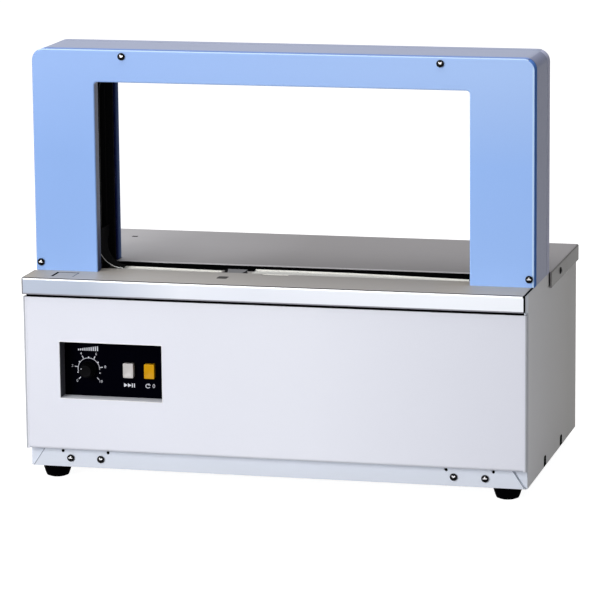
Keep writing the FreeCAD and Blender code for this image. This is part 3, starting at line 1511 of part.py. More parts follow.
# ---- tape reel ---------------------------------------------------------------------
reel_stud_radius = reel_stud_diameter / 2
reel_plate_front = tape_line + tape_width / 2 + 8.0
reel_plate_sheet = 3.0
reel_plate_foot = 90.0
reel_plate_head = 44.0
reel_foot_depth = 30.0


def reel_bracket():
    """Upright plate with the stud that the reel turns on, and the flanged knob on its end."""
    t = reel_plate_sheet
    wide = reel_plate_foot / 2
    slim = reel_plate_head / 2
    y1 = reel_plate_front + t
    plate = prism_y([(reel_x - wide, tray_floor, 0), (reel_x + wide, tray_floor, 0),
                     (reel_x + slim, reel_z + slim, slim - 4), (reel_x - slim, reel_z + slim, slim - 4)],
                    reel_plate_front, y1)
    foot = block(reel_x - wide, reel_x + wide, reel_plate_front, reel_plate_front + reel_foot_depth,
                 tray_floor, tray_floor + t)
    stud = rod(reel_stud_radius, (reel_x, tape_line - tape_width / 2 - 10, reel_z),
               (reel_x, reel_plate_front + 1, reel_z))
    y_end = tape_line - tape_width / 2 - 1.0 - seat_gap
    profile = [(reel_stud_radius, 0), (core_diameter / 2 + 16, 0), (core_diameter / 2 + 16, 2), (14, 2),
               (14, 7), (11, 12), (0, 12), (0, 9.5), (reel_stud_radius, 9.5)]
    retainer = turned(profile, (reel_x, y_end, reel_z), (0, -1, 0))
    return group([plate.fuse([foot, stud]).removeSplitter(), retainer])


def tape_reel():
    """Hub and back flange of the reel, with weight-saving windows."""
    y0 = tape_line - tape_width / 2 - 1.0
    y1 = tape_line + tape_width / 2 + 1.0
    core = core_diameter / 2
    hub = rod(core, (reel_x, y0, reel_z), (reel_x, y1, reel_z))
    flange = rod(reel_flange_diameter / 2, (reel_x, y1, reel_z), (reel_x, y1 + 2, reel_z))
    sleeve = rod(reel_stud_radius + 4, (reel_x, y1 + 1, reel_z), (reel_x, reel_plate_front - seat_gap, reel_z))
    bore = rod(reel_stud_radius + running_gap, (reel_x, y0 - 1, reel_z), (reel_x, reel_plate_front + 1, reel_z))
    windows = []
    for i in range(6):
        a = math.radians(60 * i)
        x = reel_x + reel_flange_diameter * 0.33 * math.cos(a)
        z = reel_z + reel_flange_diameter * 0.33 * math.sin(a)
        windows.append(rod(13.0, (x, y1 - 1, z), (x, y1 + 3, z)))
    return hub.fuse([flange, sleeve]).cut([bore] + windows).removeSplitter()


def tape_roll():
    """Wound roll of paper tape on the reel hub."""
    y0 = tape_line - tape_width / 2
    y1 = tape_line + tape_width / 2
    return ring(roll_diameter / 2, core_diameter / 2 + 0.02, (reel_x, y0, reel_z), (reel_x, y1, reel_z))


# ---- electrics ---------------------------------------------------------------------
board_length = 130.0
board_depth = 90.0
board_x0 = -body_half + 116.0
board_x1 = board_x0 + board_length
board_y1 = rear_panel_front - 23.5
board_y0 = board_y1 - board_depth
board_sheet = 1.6
standoff_height = 10.0
relay_size = 16.0
capacitor_radius = 7.0
capacitor_height = 25.0
core_width = 70.0
core_depth = 30.0
core_height = 58.0
coil_width = 40.0
coil_depth = 56.0
coil_height = 38.0
mount_width = 90.0
mount_depth = 40.0
mount_sheet = 3.0


def transformer():
    """Laminated mains transformer with its windings and mounting feet."""
    x = -body_half + 51.0
    y = rear_panel_front - 78.5

    def centred(width, depth, low, high):
        return block(x - width / 2, x + width / 2, y - depth / 2, y + depth / 2, low, high)

    core_low = tray_floor + mount_sheet
    coil_low = core_low + (core_height - coil_height) / 2
    core = centred(core_width, core_depth, core_low, core_low + core_height)
    coil = centred(coil_width, coil_depth, coil_low, coil_low + coil_height)
    coil = round_edges(coil, 5.0, lambda m, d: near(abs(d.z), 1))
    foot = centred(mount_width, mount_depth, tray_floor, core_low)
    return core.fuse([coil, foot]).removeSplitter()


def control_board():
    """Circuit board with its relays, capacitors and connectors, on four pillars."""
    z = tray_floor + standoff_height
    board = block(board_x0, board_x1, board_y0, board_y1, z, z + board_sheet)
    parts = []
    for i in range(3):
        x = board_x0 + 14 + i * (relay_size + 6)
        parts.append(block(x, x + relay_size, board_y1 - 16 - relay_size, board_y1 - 12,
                           z + 1, z + 1 + relay_size))
    for i in range(2):
        x = board_x1 - 20 - i * (2 * capacitor_radius + 8)
        parts.append(rod(capacitor_radius, (x, board_y1 - 20, z + 1),
                         (x, board_y1 - 20, z + 1 + capacitor_height)))
    parts.append(block(board_x0 + 10, board_x1 - 30, board_y0 + 3, board_y0 + 11, z + 1, z + 11))
    parts.append(block(board_x0 + 50, board_x0 + 80, board_y0 + 28, board_y0 + 42, z + 1, z + 5))
    pillars = [rod(3.0, (x, y, tray_floor), (x, y, z))
               for x in (board_x0 + 6, board_x1 - 6) for y in (board_y0 + 6, board_y1 - 6)]
    return group([board.fuse(parts).removeSplitter()] + pillars)


# ---- build -------------------------------------------------------------------------
PIECES = [
    base_tray, rubber_feet, foot_screws, front_cover, left_side_panel, right_side_panel, rear_cover,
    panel_screws, inlet_and_switch, power_rocker, fan_frame, fan_rotor, front_table, rear_table,
    table_rails, start_sensor, slot_strips, arch_front_cover, arch_rear_cover, arch_screws,
    arch_band, tape_track, arch_frame, arch_brackets, corner_guides, control_box, control_plate,
    tension_knob, potentiometer, feed_button, reset_button, button_housings, head_stand,
    camshaft_bearings, head_block, left_gripper, right_gripper, press_head, seal_heater,
    cutter_blade, camshaft, camshaft_pulley, motor_pulley, drive_belt, motor_bracket, gear_motor,
    anvil_plate, anvil_slide, anvil_solenoid, anvil_rails, feed_bracket, feed_roller,
    pinch_roller, feed_motor, tape_chute, reel_bracket, tape_reel, tape_roll, transformer,
    control_board,
]
os.makedirs("parts", exist_ok=True)
for make in PIECES:
    shape = make()
    shape.exportStep("parts/" + make.__name__ + ".step")
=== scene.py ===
"""Tabletop banknote strapping machine: the finishes and fine pieces that dress its frame.

X to the right, Y to the back, Z up. New pieces are surfaces computed with numpy, in millimetres, and
their meshes are in metres.
"""
import json
import math

import bpy
import numpy as np
from mathutils import Matrix, Vector


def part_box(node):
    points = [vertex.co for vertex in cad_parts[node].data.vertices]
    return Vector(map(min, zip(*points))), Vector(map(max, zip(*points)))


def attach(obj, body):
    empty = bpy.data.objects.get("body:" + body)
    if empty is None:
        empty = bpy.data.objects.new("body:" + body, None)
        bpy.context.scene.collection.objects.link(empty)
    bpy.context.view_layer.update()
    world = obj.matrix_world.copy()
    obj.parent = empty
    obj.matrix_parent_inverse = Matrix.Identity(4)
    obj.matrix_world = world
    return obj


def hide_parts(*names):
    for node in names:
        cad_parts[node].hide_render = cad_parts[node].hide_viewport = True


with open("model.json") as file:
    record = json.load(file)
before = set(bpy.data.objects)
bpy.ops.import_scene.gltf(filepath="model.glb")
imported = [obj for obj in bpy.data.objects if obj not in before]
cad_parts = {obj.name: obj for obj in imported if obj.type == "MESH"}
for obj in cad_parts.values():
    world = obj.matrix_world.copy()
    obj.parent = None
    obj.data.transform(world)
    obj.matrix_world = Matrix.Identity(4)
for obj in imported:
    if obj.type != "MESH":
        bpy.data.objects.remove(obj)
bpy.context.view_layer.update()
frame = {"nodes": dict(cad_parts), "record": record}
nodes = frame["nodes"]

MM = 0.001
TURN = 2 * math.pi

# ---- places taken from the frame, in millimetres ------------------------------------
def corners(name):
    """The low and the high corner of a node's box."""
    return [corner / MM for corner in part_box(name)]


def middle(low, high):
    """Centre of a box."""
    return (low + high) / 2


plate_low, _ = corners("control_plate")
knob_middle = middle(*corners("tension_knob"))
feed_low, feed_high = corners("feed_button")
reset_low, reset_high = corners("reset_button")
arch_low, arch_high = corners("arch_front_cover")
rear_arch_low, rear_arch_high = corners("arch_rear_cover")
table_low, table_high = corners("rear_table")
front_table_low, front_table_high = corners("front_table")
cover_low, cover_high = corners("front_cover")
tray_low, _ = corners("base_tray")
guide_low, guide_high = corners("corner_guides")
fan_middle = middle(*corners("fan_frame"))
roll_middle = middle(*corners("tape_roll"))
rocker_middle = middle(*corners("power_rocker"))
wall_back = corners("rear_cover")[1].y

# Places inside the nodes: the arch's opening, the control window, the inlet, and screw holes. A hole
# is measured from the middle of its fan, cover tab or arch foot.
opening_half = 230.0
opening_top = 483.0
window_bottom = 104.0
window_middle = (-200.0, window_bottom + 34.75)
inlet_x, inlet_z = -235.0, 72.0
fan_hole = 35.75
tab_middle, tab_hole = 237.5, 19.0
leg_foot_x, leg_foot_y, leg_foot_hole = 278.9, -73.5, 18.0

FAR = 1000.0  # past every face
SIDES = (-1, 1)  # left and right, or front and back


# ---- node helpers ------------------------------------------------------------------
def tone(red, green, blue):
    """A finish's colour from its 0 to 255 display values."""
    out = []
    for value in (red, green, blue):
        v = value / 255
        out.append(v / 12.92 if v <= 0.04045 else ((v + 0.055) / 1.055) ** 2.4)
    return (*out, 1.0)


def feed(tree, socket, value):
    """Gives an input socket a link from an output, or a plain value."""
    if isinstance(value, bpy.types.NodeSocket):
        tree.links.new(value, socket)
    else:
        socket.default_value = value


def node(tree, kind, inputs=None, **settings):
    """One shader node with its settings, and its inputs given as values or links."""
    made = tree.nodes.new(kind)
    for name, value in settings.items():
        setattr(made, name, value)
    for socket, value in (inputs or {}).items():
        feed(tree, made.inputs[socket], value)
    return made


def finish(name, **inputs):
    """A new material with its principled shader's plain values set."""
    material = bpy.data.materials.new(name)
    material.use_nodes = True
    shader = material.node_tree.nodes["Principled BSDF"]
    for socket, value in inputs.items():
        shader.inputs[socket.replace("_", " ")].default_value = value
    return material, material.node_tree, shader


def coordinates(tree, scale=(1, 1, 1), shift=(0, 0, 0)):
    """Object coordinates moved and stretched by a Mapping node."""
    source = node(tree, "ShaderNodeTexCoord").outputs["Object"]
    mapping = node(tree, "ShaderNodeMapping", {"Vector": source, "Scale": scale, "Location": shift})
    return mapping.outputs["Vector"]


def grain(tree, where, scale, detail=2.0, roughness=0.5):
    """Noise between 0 and 1 at a number of cells per metre."""
    texture = node(tree, "ShaderNodeTexNoise",
                   {"Vector": where, "Scale": scale, "Detail": detail, "Roughness": roughness})
    return texture.outputs["Fac"]


def spread(tree, value, low, high, start=0.3, end=0.7):
    """A value's range from start to end carried to low and high."""
    mapped = node(tree, "ShaderNodeMapRange",
                  {"Value": value, "From Min": start, "From Max": end, "To Min": low, "To Max": high})
    return mapped.outputs["Result"]


def arithmetic(tree, operation, first, second):
    """Two values through a Math node."""
    return node(tree, "ShaderNodeMath", {0: first, 1: second}, operation=operation).outputs["Value"]


def blended(tree, share, first, second, kind="RGBA"):
    """Two colours, or two values with kind FLOAT, mixed by a share."""
    made = node(tree, "ShaderNodeMix", data_type=kind)
    for socket, value in zip([s for s in made.inputs if s.enabled], (share, first, second)):
        feed(tree, socket, value)
    return [s for s in made.outputs if s.enabled][0]


def shade(tree, colour, value):
    """A colour lightened or darkened by a value round 1."""
    made = node(tree, "ShaderNodeHueSaturation", {"Color": colour, "Value": value})
    return made.outputs["Color"]


def edges(tree, radius):
    """Softened normal at edges, and a mask that is 1 on the edges themselves."""
    soft = node(tree, "ShaderNodeBevel", {"Radius": radius}, samples=6)
    plain = node(tree, "ShaderNodeNewGeometry").outputs["Normal"]
    across = node(tree, "ShaderNodeVectorMath", {0: soft.outputs["Normal"], 1: plain},
                  operation="DOT_PRODUCT")
    mask = spread(tree, across.outputs["Value"], 1.0, 0.0, 0.82, 0.97)
    return soft.outputs["Normal"], mask


def within(tree, place, axis, low, high):
    """1 where a coordinate lies between two values, else 0."""
    above = arithmetic(tree, "GREATER_THAN", place.outputs[axis], low * MM)
    below = arithmetic(tree, "LESS_THAN", place.outputs[axis], high * MM)
    return arithmetic(tree, "MULTIPLY", above, below)


def product(tree, shares):
    """Several shares multiplied."""
    whole = shares[0]
    for share in shares[1:]:
        whole = arithmetic(tree, "MULTIPLY", whole, share)
    return whole


def zone(grows=None, beyond=(), **inside):
    """Function that builds a part of a surface, as a share from 0 to 1, out of Object coordinates.

    The part lies between two values on each axis given, and outside each box of beyond. Along an axis
    of grows it climbs from 0 at the first value to 1 at the second; "aside" is the distance from x = 0.
    """
    def share(tree):
        where = node(tree, "ShaderNodeTexCoord").outputs["Object"]
        place = node(tree, "ShaderNodeSeparateXYZ", {"Vector": where})
        shares = [within(tree, place, axis, *span) for axis, span in inside.items()]
        for box in beyond:
            held = product(tree, [within(tree, place, axis, *span) for axis, span in box.items()])
            shares.append(arithmetic(tree, "SUBTRACT", 1.0, held))
        for axis, (start, end) in (grows or {}).items():
            value = place.outputs["X" if axis == "aside" else axis]
            if axis == "aside":
                value = arithmetic(tree, "ABSOLUTE", value, 0.0)
            shares.append(spread(tree, value, 0.0, 1.0, start * MM, end * MM))
        return product(tree, shares)
    return share


def relief(tree, height, distance, strength, normal=None):
    """Bump from a height between 0 and 1 that stands for a depth in metres."""
    inputs = {"Height": height, "Distance": distance, "Strength": strength}
    if normal is not None:
        inputs["Normal"] = normal
    return node(tree, "ShaderNodeBump", inputs).outputs["Normal"]


def zoned(tree, colour, zones):
    """A colour with a second one over each zone: pairs of a colour and a function from zone()."""
    for second, share in zones:
        colour = blended(tree, share(tree), colour, tone(*second))
    return colour


def wire(tree, shader, colour, roughness, normal):
    """Links a finish's colour, roughness and normal to its shader."""
    for socket, value in (("Base Color", colour), ("Roughness", roughness), ("Normal", normal)):
        tree.links.new(value, shader.inputs[socket])


# ---- finishes ----------------------------------------------------------------------
def powder_coat(name, colour, roughness, bare_and_glint=None, cell=850.0, zones=(), shine=0.42):
    """Stoved powder coat: a faint orange peel, a slow drift of tone, and a lighter tone on edges for a
    thinner coat there and a painted glint.
    """
    material, tree, shader = finish(name, IOR=1.5, Specular_IOR_Level=shine)
    where = coordinates(tree)
    peel = grain(tree, where, cell, 1.5)
    drift = grain(tree, where, 4.5, 2.0)
    specks = grain(tree, where, 2600.0, 1.0)
    normal, wear_and_glint = edges(tree, 0.7 * MM)
    body = shade(tree, tone(*colour), spread(tree, drift, 0.975, 1.02))
    body = shade(tree, zoned(tree, body, zones), spread(tree, specks, 0.985, 1.012))
    # Lighter edge tone: wear of the coat, and a painted glint where light catches the edges.
    if bare_and_glint is not None:
        patchy = arithmetic(tree, "MULTIPLY", wear_and_glint, spread(tree, grain(tree, where, 60.0, 3.0), 0.1, 0.75))
        body = blended(tree, patchy, body, tone(*bare_and_glint))
    wire(tree, shader, body, spread(tree, peel, roughness - 0.05, roughness + 0.06),
         relief(tree, peel, 0.03 * MM, 0.35, normal))
    return material


def brushed_sheet(name, colour, roughness, along, depth, streak, zones=(), metal=1.0):
    """Rolled and brushed sheet steel: fine scratches along one axis over slow clouding."""
    material, tree, shader = finish(name, Metallic=metal)
    stretch = [1600.0, 1600.0, 1600.0]
    stretch[along] = 9.0
    lines = grain(tree, coordinates(tree, scale=stretch), 1.0, 3.0, 0.6)
    broad = [90.0, 90.0, 90.0]
    broad[along] = 1.4
    bands = grain(tree, coordinates(tree, scale=broad), 1.0, 2.0)
    cloud = grain(tree, coordinates(tree), 7.0, 3.0)
    normal, wear_and_glint = edges(tree, 0.5 * MM)
    body = shade(tree, tone(*colour), spread(tree, lines, 1 - streak, 1 + streak))
    body = shade(tree, body, spread(tree, bands, 1 - streak / 2, 1 + streak / 2))
    body = shade(tree, body, spread(tree, cloud, 0.96, 1.04))
    # Lighter edges: wear, and a painted glint where light catches them.
    body = blended(tree, arithmetic(tree, "MULTIPLY", wear_and_glint, 0.5), body, tone(240, 242, 246))
    body = zoned(tree, body, zones)
    rough = arithmetic(tree, "ADD", spread(tree, lines, roughness - 0.04, roughness + 0.04),
                       spread(tree, cloud, -0.03, 0.03))
    wire(tree, shader, body, rough, relief(tree, lines, depth * MM, 0.4, normal))
    return material


def plated_steel(name, colour, roughness=0.32):
    """Zinc-plated steel: a fine crystal mottle with passivation clouds."""
    material, tree, shader = finish(name, Metallic=1.0)
    where = coordinates(tree)
    crystals = node(tree, "ShaderNodeTexVoronoi", {"Vector": where, "Scale": 420.0}).outputs["Distance"]
    cloud = grain(tree, where, 38.0, 3.0)
    normal, _ = edges(tree, 0.3 * MM)
    body = shade(tree, tone(*colour), spread(tree, crystals, 0.93, 1.05, 0.0, 1.0))
    body = blended(tree, spread(tree, cloud, 0.0, 0.16), body, tone(176, 178, 150))
    wire(tree, shader, body, spread(tree, cloud, roughness - 0.05, roughness + 0.08),
         relief(tree, crystals, 0.01 * MM, 0.3, normal))
    return material


def black_oxide(name, roughness, shine, rubbed_and_glint):
    """Blackened steel: dark, oily sheen, brighter at edges for rubbing and a painted glint."""
    material, tree, shader = finish(name, Metallic=0.1, Specular_IOR_Level=shine)
    where = coordinates(tree)
    cloud = grain(tree, where, 240.0, 3.0)
    normal, wear_and_glint = edges(tree, 0.25 * MM)
    body = shade(tree, tone(9, 9, 11), spread(tree, cloud, 0.85, 1.12))
    body = blended(tree, arithmetic(tree, "MULTIPLY", wear_and_glint, rubbed_and_glint), body, tone(150, 150, 156))
    wire(tree, shader, body, spread(tree, cloud, roughness - 0.08, roughness + 0.1),
         relief(tree, cloud, 0.02 * MM, 0.3, normal))
    return material


def moulded(name, colour, roughness, texture=0.35, cell=1500.0, coat=0.0, shine=0.5):
    """Moulded plastic or rubber: a spark-eroded skin and a slight drift of tone."""
    material, tree, shader = finish(name, IOR=1.49, Coat_Weight=coat, Coat_Roughness=0.12,
                                    Specular_IOR_Level=shine)
    where = coordinates(tree)
    skin = grain(tree, where, cell, 2.0)
    drift = grain(tree, where, 45.0, 2.0)
    normal, wear_and_glint = edges(tree, 0.35 * MM)
    body = shade(tree, tone(*colour), spread(tree, drift, 0.93, 1.05))
    # Lighter edges: wear, and a painted glint where light catches them.
    body = blended(tree, arithmetic(tree, "MULTIPLY", wear_and_glint, 0.2), body, shade(tree, tone(*colour), 1.6))
    wire(tree, shader, body, spread(tree, skin, roughness - 0.06, roughness + 0.07),
         relief(tree, skin, 0.02 * MM, texture, normal))
    return material


def wound_paper(name):
    """Edge of a wound paper roll: fine rings round its axle, a few layers proud."""
    material, tree, shader = finish(name, IOR=1.45)
    where = coordinates(tree, shift=(-roll_middle.x * MM, 0, -roll_middle.z * MM))
    layers = node(tree, "ShaderNodeTexWave",
                  {"Vector": where, "Scale": 380.0, "Distortion": 0.6, "Detail": 2.0},
                  wave_type="RINGS", rings_direction="Y").outputs["Fac"]
    fibre = grain(tree, where, 900.0, 3.0)
    body = shade(tree, tone(226, 216, 190), spread(tree, layers, 0.84, 1.02, 0.0, 1.0))
    body = shade(tree, body, spread(tree, fibre, 0.96, 1.03))
    wire(tree, shader, body, spread(tree, fibre, 0.6, 0.8), relief(tree, layers, 0.08 * MM, 0.5))
    return material


def laminated_iron(name):
    """Varnished transformer core: thin laminations stacked front to back."""
    material, tree, shader = finish(name, IOR=1.5)
    where = coordinates(tree)
    plates = node(tree, "ShaderNodeTexWave", {"Vector": where, "Scale": 500.0, "Distortion": 0.2},
                  wave_type="BANDS", bands_direction="Y").outputs["Fac"]
    varnish = grain(tree, where, 120.0, 3.0)
    body = shade(tree, tone(70, 58, 46), spread(tree, plates, 0.7, 1.15, 0.0, 1.0))
    body = shade(tree, body, spread(tree, varnish, 0.85, 1.1))
    wire(tree, shader, body, spread(tree, varnish, 0.25, 0.5), relief(tree, plates, 0.05 * MM, 0.5))
    return material


def toothed_belt(name):
    """Rubber drive belt with a woven back."""
    material, tree, shader = finish(name, IOR=1.5)
    where = coordinates(tree)
    weave = node(tree, "ShaderNodeTexWave", {"Vector": where, "Scale": 400.0},
                 wave_type="BANDS", bands_direction="DIAGONAL").outputs["Fac"]
    dust = grain(tree, where, 200.0, 3.0)
    body = shade(tree, tone(34, 34, 36), spread(tree, weave, 0.8, 1.15, 0.0, 1.0))
    wire(tree, shader, body, spread(tree, dust, 0.6, 0.85), relief(tree, weave, 0.05 * MM, 0.5))
    return material


# ---- parts of the finishes ---------------------------------------------------------
# Boxes and spans that several parts share.
back_flange = (-FAR, rear_arch_high.y - 1.2)
around_legs = {"X": (-opening_half - 30, opening_half + 30), "Z": (-FAR, opening_top + 20)}
around_hole = {"X": (-opening_half - 8, opening_half + 8), "Z": (0.0, opening_top + 8)}
between_ends = {"X": (arch_low.x + 9, arch_high.x - 9)}
sheet_ends = {"X": (table_low.x + 0.9, table_high.x - 0.9)}
cover_ends = {"X": (cover_low.x + 0.6, cover_high.x - 0.6)}
rim_edges = {"X": (front_table_low.x + 1.5, FAR), "Z": (front_table_low.z + 1.5, FAR)}
front_sheet = (-FAR, table_low.y - 20)
rim = (-FAR, front_table_low.y + 0.9)

# The arch: the outer flange of each pan and its upright ends, the inner flange, the front face.
# Painted shade: the violet-grey band darker on the arch's upright ends.
arch_end = zone(beyond=(between_ends,))
rear_flange = zone(beyond=(around_legs,), Y=back_flange)
# Painted light: the rear flange's upright ends lighter than its top.
rear_flange_end = zone(beyond=(around_legs, between_ends), Y=back_flange)
# Painted shade: the rear pan's inner flange dark navy, with painted light that lightens it towards the back.
rear_lining = zone(Y=back_flange, **around_hole)
rear_lining_lit = zone({"Y": (rear_arch_low.y, rear_arch_high.y - 2)}, Y=back_flange, **around_hole)
# Painted shade: the front pan's flange a darker blue, darkest on its upright ends, and its inner flange
# darker still; a painted highlight on the rounding of the front corner.
front_flange = zone(beyond=(around_legs,), Y=(arch_low.y + 1.7, 0.0))
front_flange_end = zone(beyond=(around_legs, between_ends), Y=(arch_low.y + 1.7, 0.0))
front_corner = zone(beyond=(around_legs,), Y=(arch_low.y + 0.12, arch_low.y + 1.7))
front_lining = zone(Y=(arch_low.y + 1.9, 0.0), **around_hole)
# Painted light: the blue lighter up the beam and towards the right, and a painted highlight along the front
# face's right edge.
beam = (opening_top - 90, opening_top + 20)
up_the_arch = zone({"Z": beam})
across_the_arch = zone({"X": (-250, 250)})
up_and_across = zone({"Z": beam, "X": (-250, 250)})
right_edge = zone(Y=(-FAR, arch_low.y + 0.3), X=(arch_high.x - 2.9, FAR))

# The rear sheet: its lip in the slot blackened as painted shade, its folded ends darker in painted shade, a
# painted highlight on its front fold, and painted light that leaves its right half darker.
slot_lip = zone(Y=(table_low.y - 1, table_low.y + 3), Z=(200, table_high.z - 0.9))
table_end = zone(beyond=(sheet_ends,))
front_fold = zone(Y=(table_low.y, table_low.y + 5), Z=(table_high.z - 0.9, FAR))
to_the_right = zone({"X": (-260, -20)})

# The front sheet: its top lighter than the rear sheet and darker to the right in painted light, and warmer
# beside the legs against the arch's blue reflection; painted shade just behind the rim's fold.
front_part = zone(Y=front_sheet)
front_right = zone({"X": (-240, 20)}, Y=front_sheet)
beside_legs = zone({"aside": (180, 260)}, Y=front_sheet)
behind_fold = zone(Y=(front_table_low.y + 0.9, front_table_low.y + 4.5))
# The rim: lighter to the right in painted reflection, a painted highlight on its fold, painted shade on its
# hem.
rim_face = zone(Y=rim)
rim_left = zone({"X": (-110, -235)}, Y=rim)
rim_right = zone({"X": (-20, 220)}, Y=rim)
rim_fold = zone(Y=rim, Z=(front_table_high.z - 1.8, FAR))
rim_hem = zone(beyond=(rim_edges,), Y=rim)

# The body: the front cover from left to right in painted light and its returns in painted shade, the side
# panels darker to the back in painted shade, the recess's floor.
cover_middle = zone({"X": (-250, 0)})
cover_right = zone({"X": (50, 300)})
cover_return = zone(beyond=(cover_ends,))
panel_return = zone(Y=(-FAR, tray_low.y + 4))
panel_back = zone({"Y": (-170, 120)})
recess_floor = zone(Z=(0.0, window_bottom + 0.4))

# ---- finishes in use ---------------------------------------------------------------
FINISHES = {
    # White cover: painted light across its front, painted shade on its side returns.
    "white_paint": powder_coat(
        "white_powder_coat", (236, 238, 249), 0.4, bare_and_glint=(246, 247, 252), shine=0.22,
        zones=(((240, 242, 252), cover_middle), ((229, 231, 242), cover_right),
               ((184, 186, 194), cover_return))),
    "plinth_paint": powder_coat("plinth_powder_coat", (228, 234, 246), 0.42, bare_and_glint=(240, 243, 249)),
    # Light grey, its tone set lower for the shade on the sides; painted shade darker towards the back.
    "grey_paint": powder_coat(
        "side_powder_coat", (213, 213, 218), 0.42, bare_and_glint=(236, 235, 235), shine=0.2,
        zones=(((160, 157, 155), panel_back), ((228, 234, 246), panel_return))),
    # Blue paint: painted light up and across the arch, painted highlights on its right edge and front corner,
    # painted shade on its flanges.
    "blue_paint": powder_coat(
        "blue_powder_coat", (147, 183, 242), 0.4, bare_and_glint=(196, 216, 250), shine=0.2,
        zones=(((156, 193, 253), across_the_arch), ((157, 190, 246), up_the_arch),
               ((173, 204, 255), up_and_across), ((196, 224, 255), right_edge),
               ((112, 146, 214), front_flange), ((34, 62, 130), front_flange_end),
               ((190, 216, 255), front_corner), ((58, 70, 108), front_lining))),
    # Violet-grey band; its upright ends darker in painted shade.
    "violet_grey_paint": powder_coat(
        "violet_grey_coat", (166, 173, 197), 0.45, bare_and_glint=(190, 196, 216), shine=0.15,
        zones=(((146, 152, 182), arch_end),)),
    # Recess walls in grey set darker for the shade in the recess; its floor in near-white.
    "control_box_paint": powder_coat(
        "recess_paint_and_shade", (84, 84, 90), 0.45, bare_and_glint=(150, 150, 156), shine=0.2,
        zones=(((226, 228, 236), recess_floor),)),
    # Table sheet: its zones are painted light, reflection, highlight and shade on one steel.
    "table_steel": brushed_sheet(
        "satin_table_steel", (196, 194, 197), 0.52, along=0, depth=0.004, streak=0.018, metal=0.5,
        zones=(((158, 155, 157), to_the_right), ((204, 200, 196), front_part), ((178, 174, 171), front_right),
               ((186, 178, 166), beside_legs), ((214, 213, 217), front_fold), ((204, 207, 215), rim_face),
               ((217, 220, 226), rim_right), ((160, 168, 183), rim_left), ((250, 252, 255), rim_fold),
               ((126, 126, 134), rim_hem), ((84, 82, 82), behind_fold), ((96, 94, 92), table_end),
               ((6, 6, 8), slot_lip))),
    "polished_steel": brushed_sheet(
        "polished_strip_steel", (242, 240, 220), 0.2, along=0, depth=0.004, streak=0.02),
    "aluminium": brushed_sheet("machined_aluminium", (200, 201, 203), 0.3, along=1, depth=0.006, streak=0.04),
    "zinc_steel": plated_steel("zinc_plated_steel", (178, 179, 178)),
    "dark_screw_steel": black_oxide("blackened_screw_steel", roughness=0.3, shine=0.08, rubbed_and_glint=0.05),
    "blackened_steel": black_oxide("blackened_steel", roughness=0.6, shine=0.05, rubbed_and_glint=0.05),
    "black_plastic": moulded("black_moulded_plastic", (9, 9, 11), 0.5, shine=0.08),
    "white_key": moulded("white_key_plastic", (206, 202, 201), 0.3, texture=0.1, coat=0.15, shine=0.3),
    "amber_key": moulded("amber_key_plastic", (216, 158, 4), 0.35, texture=0.1, shine=0.12),
    "rubber": moulded("foot_rubber", (2, 2, 3), 0.85, texture=0.6, cell=700.0, shine=0.01),
    "reel_plastic": moulded("reel_plastic", (196, 195, 190), 0.5),
    "board_green": moulded("board_varnish", (38, 116, 66), 0.3, texture=0.2, cell=600.0, coat=0.5),
    "paper_tape": wound_paper("wound_paper_tape"),
    "transformer_iron": laminated_iron("laminated_iron"),
}
OWN_FINISH = {
    "control_plate": moulded("black_plate_paint", (1, 1, 7), 0.5, texture=0.2, cell=900.0, shine=0.005),
    "drive_belt": toothed_belt("drive_belt_rubber"),
    # Blue rear pan with a violet-grey outer flange; its ends' lighter tone is painted light, its inner
    # flange's navy painted shade.
    "arch_rear_cover": powder_coat(
        "blue_and_violet_coat", (152, 189, 243), 0.5, (150, 160, 190), shine=0.06,
        zones=(((166, 173, 197), rear_flange), ((196, 200, 226), rear_flange_end),
               ((8, 16, 84), rear_lining), ((58, 84, 152), rear_lining_lit))),
    "anvil_plate": brushed_sheet(
        "ground_tool_steel", (150, 150, 154), 0.5, along=1, depth=0.006, streak=0.03),
    "slot_strips": FINISHES["table_steel"],
}
# Bright plating on the screws' upper recess faces: driver wear, and a painted highlight where light would
# glint.
worn_glint_steel = plated_steel("driver_worn_and_glint_steel", (226, 226, 230), 0.3)
# Matt darker blue: painted shade on the ends of the front pan's flange.
flange_shade_blue = moulded("matt_flange_painted_shade", (101, 147, 228), 0.8, texture=0.2, cell=900.0, shine=0.0)
# Navy painted shade on the rear pan's inner flange, lighter towards the back in painted light.
lining_shade_navy = powder_coat("lining_shade_navy", (0, 12, 84), 0.8, cell=900.0, shine=0.0,
                          zones=(((124, 148, 200), rear_lining_lit),))
guide_black = moulded("guide_black", (3, 3, 4), 0.7, texture=0.3, cell=900.0, shine=0.02)
slip_strip = moulded("cream_slip_strip", (255, 254, 246), 0.3, texture=0.1, cell=900.0, coat=1.0)
knob_plastic = moulded("knob_plastic", (1, 1, 3), 0.5, texture=0.3, shine=0.04)
# Grey painted shade in the lighter cut beside the tool tab.
cut_shade_grey = moulded("seam_shadow_grey", (120, 126, 138), 0.8, texture=0.2, cell=900.0, shine=0.05)
mitre_grey = moulded("mitre_shadow_grey", (160, 166, 178), 0.8, texture=0.2, cell=900.0, shine=0.05)
# Matt black for the lifting slots' cups, and painted shade in gaps, cuts and holes.
matt_black_and_shade = moulded("matt_black_and_painted_shade", (5, 5, 6), 0.9, texture=0.8, cell=1300.0, shine=0.02)
smoked = moulded("smoked_sensor_window", (52, 50, 49), 0.4, texture=0.1, cell=900.0, shine=0.1)
# Pure white, a painted highlight round the control window.
bead_highlight_white = moulded("window_bead_painted_highlight", (255, 255, 255), 0.35, texture=0.1, cell=900.0)
print_white = moulded("printed_white", (228, 231, 240), 0.6, texture=0.1, cell=900.0)

